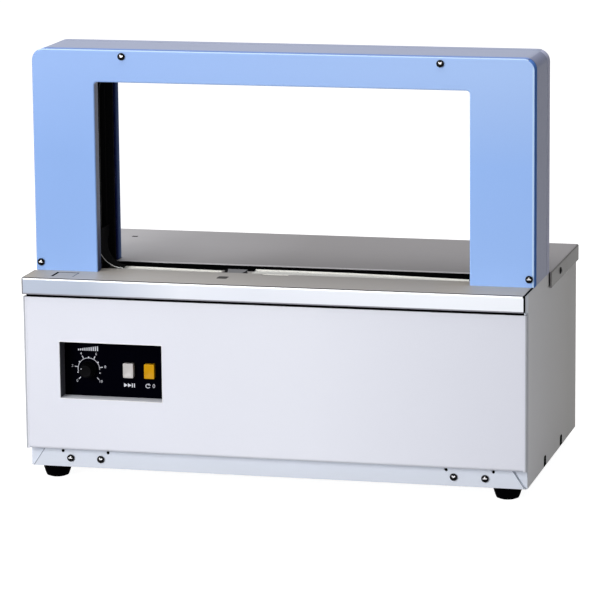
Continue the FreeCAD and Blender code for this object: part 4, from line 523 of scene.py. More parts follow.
# Every node wears its own finish, or that of its material slot.
for part in frame["record"]["subparts"]:
    materials = nodes[part["node"]].data.materials
    materials.clear()
    materials.append(OWN_FINISH.get(part["node"], FINISHES[part["material_slot"]]))


# ---- surface helpers ---------------------------------------------------------------
def placed(name, data):
    """A new object, linked into the scene."""
    thing = bpy.data.objects.new(name, data)
    bpy.context.scene.collection.objects.link(thing)
    return thing


def ring_quads(count, around, closed=False):
    """Quads between neighbouring rings of points, and from the last ring to the first if closed."""
    i, j = np.meshgrid(np.arange(count if closed else count - 1), np.arange(around), indexing="ij")
    ahead, after = (i + 1) % count, (j + 1) % around
    corners = (i * around + j, i * around + after, ahead * around + after, ahead * around + j)
    return np.stack(corners, -1).reshape(-1, 4).tolist()


def lofted(rings):
    """Closed skin through rings of equal length.

    rings[i, j] is point j of ring i. Quads join ring i to ring i + 1, and a fan on each end ring's
    mean point closes it. The skin is turned outwards by the sign of its enclosed volume.
    """
    count, around = rings.shape[:2]
    first, last, base = count * around, count * around + 1, (count - 1) * around
    k = np.arange(around)
    start = np.stack([np.full(around, first), (k + 1) % around, k], -1)
    end = np.stack([np.full(around, last), base + k, base + (k + 1) % around], -1)
    points = np.concatenate([rings.reshape(-1, 3), rings[:1].mean(1), rings[-1:].mean(1)])
    return outward(points, ring_quads(count, around) + start.tolist() + end.tolist())


def looped(rings):
    """Skin through rings of equal length, the last of which joins the first, turned outwards."""
    return outward(rings.reshape(-1, 3), ring_quads(*rings.shape[:2], closed=True))


def outward(points, faces):
    """The faces turned round if the volume they enclose is negative."""
    fans = np.array([(face[0], face[k], face[k + 1]) for face in faces for k in range(1, len(face) - 1)])
    a, b, c = points[fans].transpose(1, 0, 2)
    return points, [face[::-1] for face in faces] if np.einsum("ij,ij->", a, np.cross(b, c)) < 0 else faces


def joined(shapes):
    """Several shapes as one list of points and faces."""
    points = np.concatenate([shape[0] for shape in shapes])
    faces = []
    start = 0
    for own, some in shapes:
        faces += [[start + k for k in face] for face in some]
        start += len(own)
    return points, faces


def piece(name, shape, slot, material=None, body="machine", replaced=(), sharp=40.0, second=None):
    """A mesh object from a shape, riding on a body, smooth but for edges over an angle.

    It wears its slot's finish if no material is given. second is another material and the mask of the
    faces that wear it.
    """
    points, faces = shape
    mesh = bpy.data.meshes.new(name)
    mesh.from_pydata((points * MM).tolist(), [], faces)
    mesh.materials.append(material or FINISHES[slot])
    if second is not None:
        mesh.materials.append(second[0])
        mesh.polygons.foreach_set("material_index", second[1].astype(np.int32))
    mesh.set_sharp_from_angle(angle=math.radians(sharp))
    thing = placed(name, mesh)
    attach(thing, body)
    if replaced:
        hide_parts(*replaced)


def chosen(shapes, picks):
    """Mask of the faces that belong to the picked ones of several joined shapes."""
    return np.concatenate([np.full(len(faces), k in picks) for k, (_, faces) in enumerate(shapes)])


def normals_of(line):
    """Unit normals of a flat line of (a, b) points: its direction a quarter turn to the left."""
    ahead = np.gradient(line, axis=0)
    ahead /= np.linalg.norm(ahead, axis=1)[:, None]
    return np.stack([-ahead[:, 1], ahead[:, 0]], -1)


def beads(line, away, radius, around, shift=0.0):
    """Rings of a round bead along an (x, z) line, each in the plane of its away direction and Y.

    A ring's point at angle a lies radius cos a + shift along away, and radius sin a along Y.
    """
    turn = np.arange(around) * TURN / around
    flat = line[:, None] + away[:, None] * (radius * np.cos(turn) + shift)[:, None]
    return np.insert(flat, 1, radius * np.sin(turn), axis=2)


def bar_round(outlines):
    """Closed bar from corner lines of (x, z) points, each with its level on the Y axis."""
    return lofted(np.stack([np.insert(line, 1, level, axis=1) for line, level in outlines], 1))


def frame_of(axis):
    """Two directions across an axis, and the axis. The first is Z cross axis, or X cross an upright axis."""
    axis = np.array(axis, dtype=float)
    side = np.array((0.0, 0.0, 1.0)) if abs(axis[2]) < 0.9 else np.array((1.0, 0.0, 0.0))
    first = np.cross(side, axis)
    return first, np.cross(axis, first), axis


def turned(profile, place, axis, around, radius_at=None):
    """Solid of revolution: ring i has radius profile[i][0] at height profile[i][1] along the axis.

    radius_at(i, angles) may give a ring's radius at each angle instead.
    """
    first, second, along = frame_of(axis)
    angle = np.arange(around) * TURN / around
    ring = np.cos(angle)[:, None] * first + np.sin(angle)[:, None] * second
    rings = []
    for i, (radius, height) in enumerate(profile):
        reach = np.full(around, radius) if radius_at is None else radius_at(i, angle)
        rings.append(np.array(place) + reach[:, None] * ring + height * along)
    return lofted(np.array(rings))


def arc(a, b, radius, angle):
    """Points (a + r cos t, b + r sin t) at angles t."""
    return np.stack([a + radius * np.cos(angle), b + radius * np.sin(angle)], -1)


def round_rectangle(width, height, radius, per_corner=6):
    """Outline of a rectangle with quarter-circle corners, as (u, v) rows.

    Corner k is a quarter circle about (+-(w/2 - r), +-(h/2 - r)) from angle 90k to 90k + 90 degrees.
    """
    quarter = np.linspace(0, TURN / 4, per_corner)
    u, v = width / 2 - radius, height / 2 - radius
    return np.concatenate([arc(su * u, sv * v, radius, quarter + k * TURN / 4)
                           for k, (su, sv) in enumerate(((1, 1), (-1, 1), (-1, -1), (1, -1)))])


def slab(outline, low, high, level_axis=2):
    """Flat plate: an outline of (a, b) rows carried along one axis between two levels."""
    outline = np.array(outline, dtype=float)
    return lofted(np.stack([np.insert(outline, level_axis, level, axis=1) for level in (low, high)]))


def plate(x0, x1, y0, y1, z0, z1):
    """Rectangular slab."""
    return slab(((x0, y0), (x1, y0), (x1, y1), (x0, y1)), z0, z1)


# ---- screws ------------------------------------------------------------------------
def pan_screw(place, axis, radius, height, shank, length, turn):
    """Cross-recessed pan-head screw, its head resting at a place, and the mask of its recess faces that carry
    a painted glint.

    The head is a square grid (u, v) carried to a disc by x = u sqrt(1 - v^2/2), y = v sqrt(1 - u^2/2).
    Its height is h (1 - 0.45 r^2.4) less the recess, which is deepest where |u| or |v| is small.
    The glint faces are the recess's upper ones, on heads that face the front or the back; their bright
    plating is wear from the driver and a painted highlight.
    """
    line = np.array((0, 0.13, 0.2, 0.32, 0.5, 0.6, 0.7, 0.8, 0.91, 1.0))
    line = np.concatenate([-line[:0:-1], line])
    u, v = np.meshgrid(line, line, indexing="ij")
    x = u * np.sqrt(1 - v ** 2 / 2)
    y = v * np.sqrt(1 - u ** 2 / 2)
    slots = [np.clip((0.2 - abs(across)) / 0.07, 0, 1) * np.clip((0.6 - abs(ahead)) / 0.1, 0, 1)
             for across, ahead in ((u, v), (v, u))]
    recess = np.maximum(*slots)
    rho = np.sqrt(x ** 2 + y ** 2)
    z = height * (1 - 0.45 * rho ** 2.4) - recess * height * (0.4 - 0.2 * rho)
    first, second, along = frame_of(axis)
    right = math.cos(turn) * first + math.sin(turn) * second
    ahead = math.cos(turn) * second - math.sin(turn) * first
    top = np.array(place) + radius * (x[..., None] * right + y[..., None] * ahead) + z[..., None] * along
    n = len(line)
    index = np.arange(n * n).reshape(n, n)
    cells = np.stack([index[:-1, :-1], index[1:, :-1], index[1:, 1:], index[:-1, 1:]], -1).reshape(-1, 4)
    rim = np.concatenate([index[0, :-1], index[:-1, -1], index[-1, :0:-1], index[:0:-1, 0]])
    edge = top.reshape(-1, 3)[rim] - z.reshape(-1)[rim][:, None] * along
    out = (edge - np.array(place)) / radius
    rings = [np.array(place) + reach * out + drop * along for reach, drop in
             ((radius, 0.2 * height), (0.97 * radius, 0), (shank, 0), (shank, 0.8 - length),
              (0.7 * shank, -length))]
    around = len(rim)
    points = np.concatenate([top.reshape(-1, 3)] + rings + [(np.array(place) - length * along)[None]])
    faces = cells.tolist()
    before = rim
    for k in range(len(rings)):
        now = n * n + k * around + np.arange(around)
        faces += np.stack([before, np.roll(before, -1), np.roll(now, -1), now], -1).tolist()
        before = now
    tip = len(points) - 1
    faces += np.stack([before, np.roll(before, -1), np.full(around, tip)], -1).tolist()
    deep, up = [(v[:-1, :-1] + v[1:, :-1] + v[1:, 1:] + v[:-1, 1:]) / 4
                for v in (recess, (top[..., 2] - place[2]) / radius)]
    mask = np.zeros(len(faces), dtype=bool)
    mask[:deep.size] = ((deep > 0.35) & (up > -0.12) & (abs(axis[1]) > 0.5)).ravel()
    return outward(points, faces), mask


def screw_set(name, rows, replaced):
    """Screws given as rows of place, axis, head radius, head height, shank radius and length."""
    screws = [pan_screw(*row, turn=0.5 + 0.9 * k) for k, row in enumerate(rows)]
    recesses = np.concatenate([mask for _, mask in screws])
    piece(name, joined([shape for shape, _ in screws]), "dark_screw_steel", replaced=replaced, sharp=55.0,
          second=(worn_glint_steel, recesses))


# Each kind of screw: head radius, head height and shank radius.
HEAD = (4.45, 2.9, 2.0)
WALL_HEAD = (4.2, 2.2, 2.0)
END_HEAD = (4.2, 2.1, 2.0)
FOOT_BOLT = (4.6, 3.5, 2.5)
wall_places = [(x, 210.0) for x in (-291.0, 0.0, 291.0)]
wall_places += [(fan_middle.x + sx * fan_hole, fan_middle.z + sz * fan_hole) for sx in SIDES for sz in SIDES]
panel_rows = [((side * (tab_middle + step * tab_hole), tray_low.y, 27.0), (0, -1, 0), *HEAD, 7.5)
              for side in SIDES for step in SIDES]
panel_rows += [((x, wall_back, z), (0, 1, 0), *WALL_HEAD, 9.0) for x, z in wall_places]
panel_rows += [((side * table_high.x, 45.0, 241.0), (side, 0, 0), *END_HEAD, 9.0) for side in SIDES]
screw_set("cross_head_panel_screws", panel_rows, ("panel_screws",))

arch_places = [(side * x, z) for side in SIDES for x, z in ((195.0, 514.5), (301.5, 261.0))]
arch_rows = [((x, face, z), (0, out, 0), *HEAD, 9.0)
             for face, out in ((arch_low.y, -1), (rear_arch_high.y, 1)) for x, z in arch_places]
arch_rows += [((side * leg_foot_x, leg_foot_y + step * leg_foot_hole, 255.0), (0, 0, 1), *FOOT_BOLT, 12.0)
              for side in SIDES for step in SIDES]
screw_set("cross_head_arch_screws", arch_rows, ("arch_screws",))


# ---- control panel -----------------------------------------------------------------
def tension_knob():
    """Fluted skirted knob on its shaft.

    Turned profile whose radius loses 0.42 (0.5 + 0.5 cos 24a)^3 mm at angle a, times the share that each
    row of the profile ends with.
    """
    x, _, z = knob_middle
    back = plate_low.y - 1.5
    rows = ((3.0, -14.0, 0), (3.0, -0.2, 0), (9.6, -0.2, 0), (10.0, 0.2, 0), (10.0, 4.2, 0), (9.7, 4.9, 0),
            (8.9, 5.5, 0.5), (8.6, 6.3, 1), (8.4, 9.0, 1), (8.1, 12.4, 1), (7.8, 13.2, 0.8), (7.3, 13.8, 0.3),
            (6.6, 14.0, 0), (6.0, 13.85, 0), (3.0, 13.7, 0), (0.4, 13.7, 0))

    def flute(i, angle):
        hollow = (0.5 + 0.5 * np.cos(24 * angle)) ** 3
        return rows[i][0] - 0.42 * rows[i][2] * hollow

    shape = turned([(r, h) for r, h, _ in rows], (x, back, z), (0, -1, 0), 192, flute)
    piece("fluted_knob", shape, "black_plastic", knob_plastic, "knob", ("tension_knob",), sharp=32.0)
    swing = math.radians(-60.0)
    mark = (x + 5.9 * math.sin(swing), back - 13.6, z + 5.9 * math.cos(swing))
    dot = turned([(0.85, -0.3), (0.85, 0.1), (0.6, 0.3)], mark, (0, -1, 0), 20)
    piece("knob_pointer", dot, "white_key", print_white, "knob")


def key_cap(name, low, high, slot, body, replaced):
    """Key cap with rounded corners and a finger hollow.

    Rings of a rounded rectangle go up the side and over the edge, then shrink to the middle. The face
    sinks by 0.95 mm times cos^2(pi v / h), a hollow across the key.
    """
    x, _, z = middle(low, high)
    wide, tall = high.x - low.x, high.z - low.z
    side = ((0.2, 14.0), (0.2, 3.0), (0.0, 2.0), (0.0, 0.7), (0.12, 0.3), (0.35, 0.08), (0.6, 0.0))
    rings = [np.insert(round_rectangle(wide - 2 * inset, tall - 2 * inset, 1.3 - inset), 1, depth, axis=1)
             for inset, depth in side]
    land = rings[-1]
    for share in (0.9, 0.8, 0.68, 0.54, 0.4, 0.26, 0.12, 0.03):
        ring = land * share
        ring[:, 1] = 0.95 * np.cos(math.pi * ring[:, 2] / tall) ** 2 * min(1.0, (1 - share) / 0.2)
        rings.append(ring)
    piece(name, lofted(np.array(rings) + (x, low.y, z)), slot, None, body, replaced, sharp=50.0)


def bezel(name, centre, width, height, corner, slot, material):
    """Thin raised frame: a round bead of 0.42 mm carried round a rounded rectangle that faces the front.

    The bead's plane turns with the outline: away from the middle by the 8th power of |x| and |z| over
    the straight part of the shorter side, cut at 1.
    """
    outline = round_rectangle(width, height, corner, 8)
    away = np.sign(outline) * np.minimum(1.0, np.abs(outline) / (0.5 * min(width, height) - corner)) ** 8
    away /= np.linalg.norm(away, axis=1)[:, None]
    piece(name, looped(beads(outline, away, radius=0.42, around=8) + centre), slot, material)


def key_bezel(name, low, high):
    """Black frame on the plate round a key."""
    x, _, z = middle(low, high)
    width, height = high.x - low.x + 1.7, high.z - low.z + 1.7
    bezel(name, (x, plate_low.y, z), width, height, 1.8, "black_plastic", knob_plastic)


# How far the print stands off the plate.
INK = 0.06


def stroke(path, widths):
    """Flat printed line on the plate: a rectangle carried along (x, z) points with a half width each."""
    path = np.array(path, dtype=float)
    across = normals_of(path) * np.array(widths, dtype=float)[:, None]
    left, right = path + across, path - across
    front, back = plate_low.y - INK, plate_low.y + 0.02
    return bar_round(((left, front), (right, front), (right, back), (left, back)))


def on_dial(angle, radius):
    """Point of the dial at an angle in degrees from 12 o'clock and a radius in millimetres."""
    x, _, z = knob_middle
    turn = np.radians(angle)
    return np.stack([x + radius * np.sin(turn), z + radius * np.cos(turn)], -1)


def numeral(text, place, size):
    """Solid digits on the plate, centred on a place."""
    curve = bpy.data.curves.new("digits", "FONT")
    curve.body = text
    curve.size = size * MM
    curve.align_x = "CENTER"
    curve.align_y = "CENTER"
    curve.extrude = INK * MM
    curve.resolution_u = 3
    thing = placed("digits", curve)
    bpy.context.view_layer.update()
    solid = bpy.data.meshes.new_from_object(thing.evaluated_get(bpy.context.evaluated_depsgraph_get()))
    flat = np.empty(len(solid.vertices) * 3)
    solid.vertices.foreach_get("co", flat)
    flat = flat.reshape(-1, 3) / MM
    points = np.stack([place[0] + flat[:, 0], plate_low.y - flat[:, 2], place[1] + flat[:, 1]], -1)
    faces = [list(polygon.vertices) for polygon in solid.polygons]
    bpy.data.objects.remove(thing)
    bpy.data.meshes.remove(solid)
    return points, faces


def dial_marks():
    """Scale round the knob: an arc, a long mark and a numeral at each even step, dots at the odd ones.

    Ten bars of rising height over the dial say that the value grows clockwise.
    """
    shapes = [stroke(on_dial(np.linspace(-104, 92, 60), 13.6), np.full(60, 0.34))]
    for k, angle in enumerate(np.linspace(-135, 135, 6)):
        shapes.append(stroke(on_dial(np.full(2, angle), np.array((14.4, 18.0))), (0.55, 0.55)))
        shapes.append(numeral(str(2 * k), on_dial(angle, 21.0), 4.6))
    for angle in (-108, -54, 0, 54, 108):
        x, z = on_dial(angle, 14.6)
        shapes.append(turned([(0.85, -0.02), (0.85, INK)], (x, plate_low.y, z), (0, -1, 0), 16))
    foot = on_dial(0, 22.6)
    for k in range(10):
        half = 1.0 + 0.22 * k
        bar = foot + np.array((2.65 * k - 13.2, half)) + np.array(((0, 0), (1.5, 0)))
        shapes.append(stroke(bar, (half, half)))
    piece("dial_marks", joined(shapes), "white_key", print_white, sharp=30.0)


def key_marks():
    """Two arrowheads and two bars under the feed key; a returning arrow and a nought under the reset key."""
    x, z = middle(feed_low, feed_high).x, feed_low.z - 10.0
    shapes = [stroke(((x + shift, z), (x + shift + 4.4, z)), (2.5, 0.1)) for shift in (-7.0, -2.2)]
    shapes += [stroke(((x + shift, z - 2.5), (x + shift, z + 2.5)), (0.6, 0.6)) for shift in (3.4, 6.0)]
    x = middle(reset_low, reset_high).x
    angle = np.radians(np.linspace(50, 330, 40))
    loop = np.stack([x - 3.4 + 2.7 * np.cos(angle), z + 2.3 * np.sin(angle)], -1)
    shapes.append(stroke(loop, np.full(40, 0.45)))
    shapes.append(stroke(loop[0] + np.array(((-1.2, 0.6), (1.6, -0.9))), (1.5, 0.1)))
    shapes.append(numeral("0", (x + 4.0, z), 7.0))
    piece("key_marks", joined(shapes), "white_key", print_white, sharp=30.0)


tension_knob()
key_cap("feed_key_cap", feed_low, feed_high, "white_key", "feed_key", ("feed_button",))
key_cap("reset_key_cap", reset_low, reset_high, "amber_key", "reset_key", ("reset_button",))
key_bezel("feed_key_bezel", feed_low, feed_high)
key_bezel("reset_key_bezel", reset_low, reset_high)
# Pure white bead round the window: a painted highlight on its edge.
bezel("window_bead", (window_middle[0], cover_low.y + 0.1, window_middle[1]), 128.6, 70.1, 0.9,
      "white_paint", bead_highlight_white)
dial_marks()
key_marks()


# ---- table, slot and cover trim ----------------------------------------------------
def lip_shade_strip():
    """Black strip under the table's rim, painted shade in the gap over the cover: a rounded rectangle carried
    along the cover's lip.
    """
    low, high = cover_high.z, front_table_low.z + 0.9
    front, back = cover_low.y + 1.2, cover_low.y + 11
    outline = round_rectangle(back - front, high - low, 0.6, 4) + ((front + back) / 2, (low + high) / 2)
    piece("cover_lip_shade_strip", slab(outline, cover_low.x + 2.2, cover_high.x - 2.2, 0), "black_plastic", matt_black_and_shade)


# Radii of the left tape guide's curve and of the arch's outer corners.
LEFT_GUIDE = 32
PORTAL_CORNER = 14.5


def guide_path(radius, side):
    """Outer line of a tape guide as (x, z): straight down the leg, then a quarter circle into the slot."""
    low, start = guide_low.z, side * 238
    angle = np.radians(np.linspace(180, 270, 28))
    curve = np.stack([start - side * radius * (1 + np.cos(angle)), low + radius * (1 + np.sin(angle))], -1)
    return np.concatenate([((start, low + radius + 14),), curve])


def tape_guides():
    """Curved strip at the foot of each leg, its rear edge drawn in towards the foot, with its lug.

    Section k is a rectangle: 1.5 mm along the curve's normal, and from the front edge to a rear edge
    that runs from y = -50 mm at the top to -82 mm at the foot.
    """
    shapes = []
    for side, radius in ((-1, LEFT_GUIDE), (1, 14)):
        line = guide_path(radius, side)
        inner = line - side * 1.5 * normals_of(line)
        rear = -50 - 32 * np.linspace(0, 1, len(line)) ** 0.6
        top = line[0, 1]
        shapes += [bar_round(((line, guide_low.y), (inner, guide_low.y), (inner, rear), (line, rear))),
                   plate(side * guide_high.x, side * 237.3, guide_low.y, guide_low.y + 15, top - 10, top)]
    piece("tape_guides", joined(shapes), "blackened_steel", guide_black, replaced=("corner_guides",))


def guide_edge():
    """Worn bead on the front edge of the left tape guide: a circle carried down it and round its arc."""
    line = guide_path(LEFT_GUIDE, -1)
    rings = beads(line, normals_of(line), radius=0.4, around=10, shift=0.4) + (0, guide_low.y - 0.48, 0)
    piece("guide_edge_bead", lofted(rings), "zinc_steel")


def arch_trim():
    """Trim strip over the joint between the arch's two pans, flush with their flanges.

    A portal outline with rounded corners and the same outline 1.2 mm inside it, both carried front to back.
    """
    front, back = arch_low.y + 15.05, rear_arch_low.y - 0.05
    quarter = np.linspace(0, TURN / 4, 10)
    lines = []
    for inset in (0.12, 1.3):
        half, top, radius = arch_high.x - inset, arch_high.z - inset, PORTAL_CORNER - inset
        corner = arc(half - radius, top - radius, radius, quarter)
        right = np.concatenate([((half, arch_low.z + 0.2),), corner])
        lines.append(np.concatenate([right, right[::-1] * (-1, 1)]))
    outer, inner = lines
    piece("arch_trim_strip", bar_round(((outer, front), (outer, back), (inner, back), (inner, front))),
          "violet_grey_paint", sharp=50.0)


def flange_edges():
    """Painted shade on the front pan's flange: a matt darker blue skin down each side and round most of the
    corner.

    A section that follows the pan's rounded front corner, carried up a portal line and 62 degrees round
    its own corner: each of its points has a depth and an offset from the flange's face.
    """
    section = np.array(((-0.68, 0.14), (-0.36, 0.40), (-0.12, 0.73), (0.08, 1.5), (0.08, 12.6),
                        (0.0, 12.6), (0.0, 1.6), (-0.3, 0.8), (-0.72, 0.3)))
    quarter = np.radians(np.linspace(0, 62, 12))
    half, top = arch_high.x - PORTAL_CORNER, arch_high.z - PORTAL_CORNER
    lines = []
    for out, depth in section:
        radius = PORTAL_CORNER + out
        line = np.concatenate([((half + radius, arch_low.z + 0.2),), arc(half, top, radius, quarter)])
        lines.append((line, arch_low.y + depth))
    shapes = [bar_round([(line * (side, 1), level) for line, level in lines]) for side in SIDES]
    piece("flange_edge_painted_shade", joined(shapes), "blue_paint", flange_shade_blue, sharp=60.0)


def lining_shade():
    """Navy skin on the rear pan's inner flange, painted shade there, from the table to just under the
    opening's corner.
    """
    inside, face = opening_half - 0.14, opening_half - 0.04
    rest = (rear_arch_low.y + 0.2, rear_arch_high.y - 1.6, table_high.z + 0.3, opening_top - 4)
    shapes = [plate(side * inside, side * face, *rest) for side in SIDES]
    piece("rear_lining_painted_shade", joined(shapes), "blue_paint", lining_shade_navy)


def rolled_cover_edges():
    """Rolled end of the front cover on each side: a rounded bar 9 mm deep, 2 mm past the panels."""
    reach, face, radius = 309.0, cover_low.y - 0.05, 1.8
    corner = arc(reach - radius, face + radius, radius, np.linspace(-TURN / 4, 0, 8))
    behind = ((reach, face + 9), (307.05, face + 9), (304.5, face + 1))
    outline = np.concatenate([((304.5, face),), corner, behind])
    shapes = [slab(outline * (side, 1), 40, cover_high.z - 0.1) for side in SIDES]
    piece("rolled_cover_edges", joined(shapes), "white_paint", sharp=50.0)


def plinth_seams():
    """Grey seam at each mitred end of the plinth, and a black disc in each of the four relief holes in its
    upper edge, painted shade in the holes.
    """
    face = tray_low.y
    seam = np.array(((304.3, 16.4), (303.2, 16.4), (288.6, 38.2), (289.8, 38.2)))
    shapes = [slab(seam * (side, 1), face - 0.12, face + 0.3, 1) for side in SIDES]
    shapes += [turned(((1.75, -0.4), (1.75, 0.1), (1.6, 0.15)), (x, face, 35.3), (0, -1, 0), 20)
               for x in (-266.4, -209.2, 209.6, 266.6)]
    dark = chosen(shapes, range(2, 6))
    piece("plinth_seams", joined(shapes), "blackened_steel", mitre_grey, second=(matt_black_and_shade, dark))


def slip_strips():
    """Two cream strips that the tape slides on, at the front of the slot, narrowing as they run out.

    Section k is flat from the front edge, then climbs 1.4 mm over its last 2 mm to the rear edge.
    """
    level = table_high.z - 2
    plans = (((-228, -94, -78), (-167, -94, -79.5), (-113, -94, -83.5), (-84, -94, -85.5)),
             ((-46, -92, -69.5), (10, -92, -69.5), (70, -92, -71.5), (130, -93, -76.5), (228, -95, -86)))
    shapes = []
    for plan in plans:
        rings = [[(x, front, level - 0.2), (x, front, level + 0.4), (x, rear - 2, level + 0.4),
                  (x, rear, level + 1.8), (x, rear, level - 0.2)] for x, front, rear in plan]
        shapes.append(lofted(np.array(rings)))
    piece("tape_slip_strips", joined(shapes), "white_key", slip_strip, sharp=20.0)


def end_shade_strip():
    """Black strip along the front table's right end, painted shade in the gap there: down the rim's corner
    and back along the top.
    """
    x0, x1 = front_table_high.x - 1.1, front_table_high.x + 1.95
    front, top = front_table_low.y, front_table_high.z
    down = plate(x0, x1, front + 0.02, front + 2.4, front_table_low.z + 0.4, top - 0.4)
    over = plate(x0 + 0.7, x1, front + 0.4, arch_low.y - 0.5, top - 1.4, top + 0.12)
    piece("table_end_shade_strip", joined((down, over)), "black_plastic", matt_black_and_shade)


def slot_cups():
    """Black cups behind the side panels' lifting slots: a tapering socket with a closed back."""
    slot = np.array(((-7.9, 16.1), (7.9, 16.1), (7.9, 26.0), (6.6, 29.2), (-6.6, 29.2), (-7.9, 26.0)))
    shapes = []
    for side in SIDES:
        for place in (-44.5, 67.5):
            outline = slot + (place, 0)
            inner = (outline - outline.mean(0)) * (0.95, 0.96) + outline.mean(0)
            rings = [np.insert(ring, 0, side * reach, axis=1) for ring, reach in
                     ((outline, 305.4), (outline, 306.9), (inner, 306.9), (inner, 305.6))]
            shapes.append(lofted(np.array(rings)))
    piece("slot_cups", joined(shapes), "black_plastic", matt_black_and_shade)


def cut_shade():
    """Painted shade in the cuts round the tool tab, matt black but for the right one, which is grey, and in
    the dash slot.
    """
    low, top = table_high.z - 1.7, table_high.z + 0.03
    x0, x1, y0, y1 = -276.2, -250.2, -161.5, -135.5
    shapes = [plate(x0 - 1.6, x0 + 1.6, y0 + 0.02, y1 - 0.82, low, top),
              plate(x0 - 1.6, x1 + 0.78, y1 - 1.2, y1 + 1.2, low, top),
              plate(x1 - 0.78, x1 + 0.78, y0 + 0.02, y1 - 1.22, low, top - 0.1),
              plate(-259.95, -252.55, 120.05, 125.95, low, top)]
    right = chosen(shapes, (2,))
    piece("table_cut_shade", joined(shapes), "black_plastic", matt_black_and_shade, second=(cut_shade_grey, right))


def lip_shade():
    """Matt black painted shade on the folded lip at the back of the slot."""
    half = opening_half - 1
    shape = plate(-half, half, table_low.y - 0.1, table_low.y - 0.02, table_high.z - 8, table_high.z - 0.7)
    piece("slot_lip_painted_shade", shape, "black_plastic", matt_black_and_shade)


def rocker_marks():
    """A bar and a ring on the mains rocker's two halves, each half sloping up from the pivot's line.

    A point (x, z) of a mark stands 4.4 + 1.6 |z| / 9.5 mm out of the pivot, then turns 7 degrees with it.
    """
    angle = np.arange(24) * TURN / 24
    outer, inner = arc(0, -5.0, 2.0, angle), arc(0, -5.0, 1.45, angle)
    bar = np.array(((-0.35, 3.2), (0.35, 3.2), (0.35, 6.8), (-0.35, 6.8)))
    tilt, ink = math.radians(-7.0), 0.05

    def standing(flat, out):
        x, z = flat.T
        y = 4.4 + 1.6 * abs(z) / 9.5 + out
        place = (x, y * math.cos(tilt) - z * math.sin(tilt), y * math.sin(tilt) + z * math.cos(tilt))
        return np.stack(place, -1) + (rocker_middle.x, wall_back - 4, inlet_z)

    hoop = [standing(*row) for row in ((outer, -ink), (outer, ink), (inner, ink), (inner, -ink))]
    shapes = (looped(np.array(hoop)), lofted(np.array([standing(bar, -ink), standing(bar, ink)])))
    piece("rocker_marks", joined(shapes), "white_key", print_white, "mains_rocker", sharp=30.0)


def inlet_pins():
    """Plated sleeves on the inlet's three flat pins."""
    tip = wall_back - 0.94
    shapes = []
    for dx, dz in ((-7, -2), (7, -2), (0, 2)):
        x, z = inlet_x + dx, inlet_z + dz
        shapes.append(plate(x - 1.06, x + 1.06, tip - 9, tip, z - 2.06, z + 2.06))
    piece("inlet_pins", joined(shapes), "zinc_steel")


def sensor_window():
    """Smoked window over the start sensor, let into the front table: a rounded rectangle."""
    outline = round_rectangle(12.6, 14.5, 2.2) + np.array((-71.0, -131.0))
    shape = slab(outline, front_table_high.z - 0.3, front_table_high.z + 0.1)
    piece("sensor_window", shape, "black_plastic", smoked)


for build in (lip_shade_strip, tape_guides, guide_edge, arch_trim, flange_edges, lining_shade, rolled_cover_edges,
              plinth_seams, slip_strips, end_shade_strip, slot_cups, cut_shade, lip_shade, rocker_marks,
              inlet_pins, sensor_window):
    build()


# ---- stage -------------------------------------------------------------------------
FRAME_PIXELS = 600
FOCAL_PIXELS = 3578.42
SENSOR = 36.0
CAMERA_PLACE = Vector((1.0479, -4.2069, 1.0470))
CAMERA_YAW = math.radians(-14.0928)
CAMERA_PITCH = math.radians(11.0391)
CAMERA_ROLL = math.radians(-0.5511)


def set_camera():
    """Camera at its place: rolled, tilted down from the level by its pitch, then turned to its heading."""
    data = bpy.data.cameras.new("camera")
    data.sensor_width = SENSOR
    data.lens = FOCAL_PIXELS / FRAME_PIXELS * SENSOR
    camera = placed("camera", data)
    heading = Matrix.Rotation(-CAMERA_YAW, 4, "Z")
    tilt = Matrix.Rotation(TURN / 4 - CAMERA_PITCH, 4, "X")
    roll = Matrix.Rotation(CAMERA_ROLL, 4, "Z")
    camera.matrix_world = Matrix.Translation(CAMERA_PLACE) @ heading @ tilt @ roll
    bpy.context.scene.camera = camera


def soft_box(name, place, aim, width, height, power):
    """Rectangular lamp at a place, turned to what it lights."""
    data = bpy.data.lights.new(name, "AREA")
    data.shape = "RECTANGLE"
    data.size = width
    data.size_y = height
    data.energy = power
    lamp = placed(name, data)
    lamp.location = place
    lamp.rotation_euler = (Vector(aim) - Vector(place)).to_track_quat("-Z", "Y").to_euler()


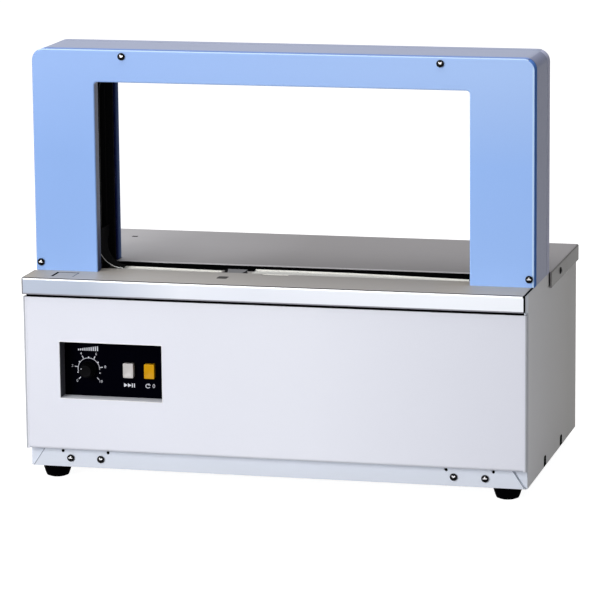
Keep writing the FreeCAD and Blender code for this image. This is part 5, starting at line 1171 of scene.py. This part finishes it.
def set_world(low_level, high_level, back_level, front_level):
    """White to the camera, a sky brighter overhead to matt surfaces, a soft gradient to glossy ones."""
    world = bpy.data.worlds.new("studio")
    world.use_nodes = True
    bpy.context.scene.world = world
    tree = world.node_tree
    path = node(tree, "ShaderNodeLightPath")
    seen = arithmetic(tree, "MAXIMUM", path.outputs["Is Camera Ray"], path.outputs["Is Transmission Ray"])
    direction = node(tree, "ShaderNodeTexCoord").outputs["Generated"]
    heading = node(tree, "ShaderNodeSeparateXYZ", {"Vector": direction})
    mirrored = spread(tree, heading.outputs["Y"], front_level, back_level, -1.0, 1.0)
    sky = spread(tree, heading.outputs["Z"], low_level, high_level, 0.0, 1.0)
    level = blended(tree, path.outputs["Is Glossy Ray"], sky, mirrored, "FLOAT")
    background = tree.nodes["Background"]
    background.inputs["Color"].default_value = (1, 1, 1, 1)
    tree.links.new(blended(tree, seen, level, 1.0, "FLOAT"), background.inputs["Strength"])


def lay_floor():
    """Pale floor that shows white and keeps the machine's soft shadow."""
    mesh = bpy.data.meshes.new("floor")
    reach = 30.0
    mesh.from_pydata([(-reach, -reach, 0), (reach, -reach, 0), (reach, reach, 0), (-reach, reach, 0)],
                     [], [(0, 1, 2, 3)])
    material, tree, shader = finish("floor_paper")
    tree.nodes.remove(shader)
    path = node(tree, "ShaderNodeLightPath")
    seen = arithmetic(tree, "MAXIMUM", path.outputs["Is Camera Ray"], path.outputs["Is Glossy Ray"])
    seen = arithmetic(tree, "MAXIMUM", seen, path.outputs["Is Transmission Ray"])
    matt = node(tree, "ShaderNodeBsdfDiffuse", {"Color": (0.34, 0.34, 0.34, 1)})
    glow = node(tree, "ShaderNodeEmission", {"Strength": arithmetic(tree, "MULTIPLY", seen, 0.95)})
    both = node(tree, "ShaderNodeAddShader", {0: matt.outputs["BSDF"], 1: glow.outputs["Emission"]})
    tree.links.new(both.outputs["Shader"], tree.nodes["Material Output"].inputs["Surface"])
    mesh.materials.append(material)
    placed("floor", mesh)


set_camera()
lay_floor()
set_world(low_level=0.08, high_level=0.4, back_level=0.42, front_level=1.0)
soft_box("key", (-2.1, -3.8, 1.5), (0, 0, 0.25), width=2.2, height=2.2, power=141.0)
soft_box("overhead", (-0.4, -0.3, 3.4), (0, 0, 0.3), width=2.0, height=2.0, power=60.0)
bpy.context.scene.view_settings.view_transform = "Standard"
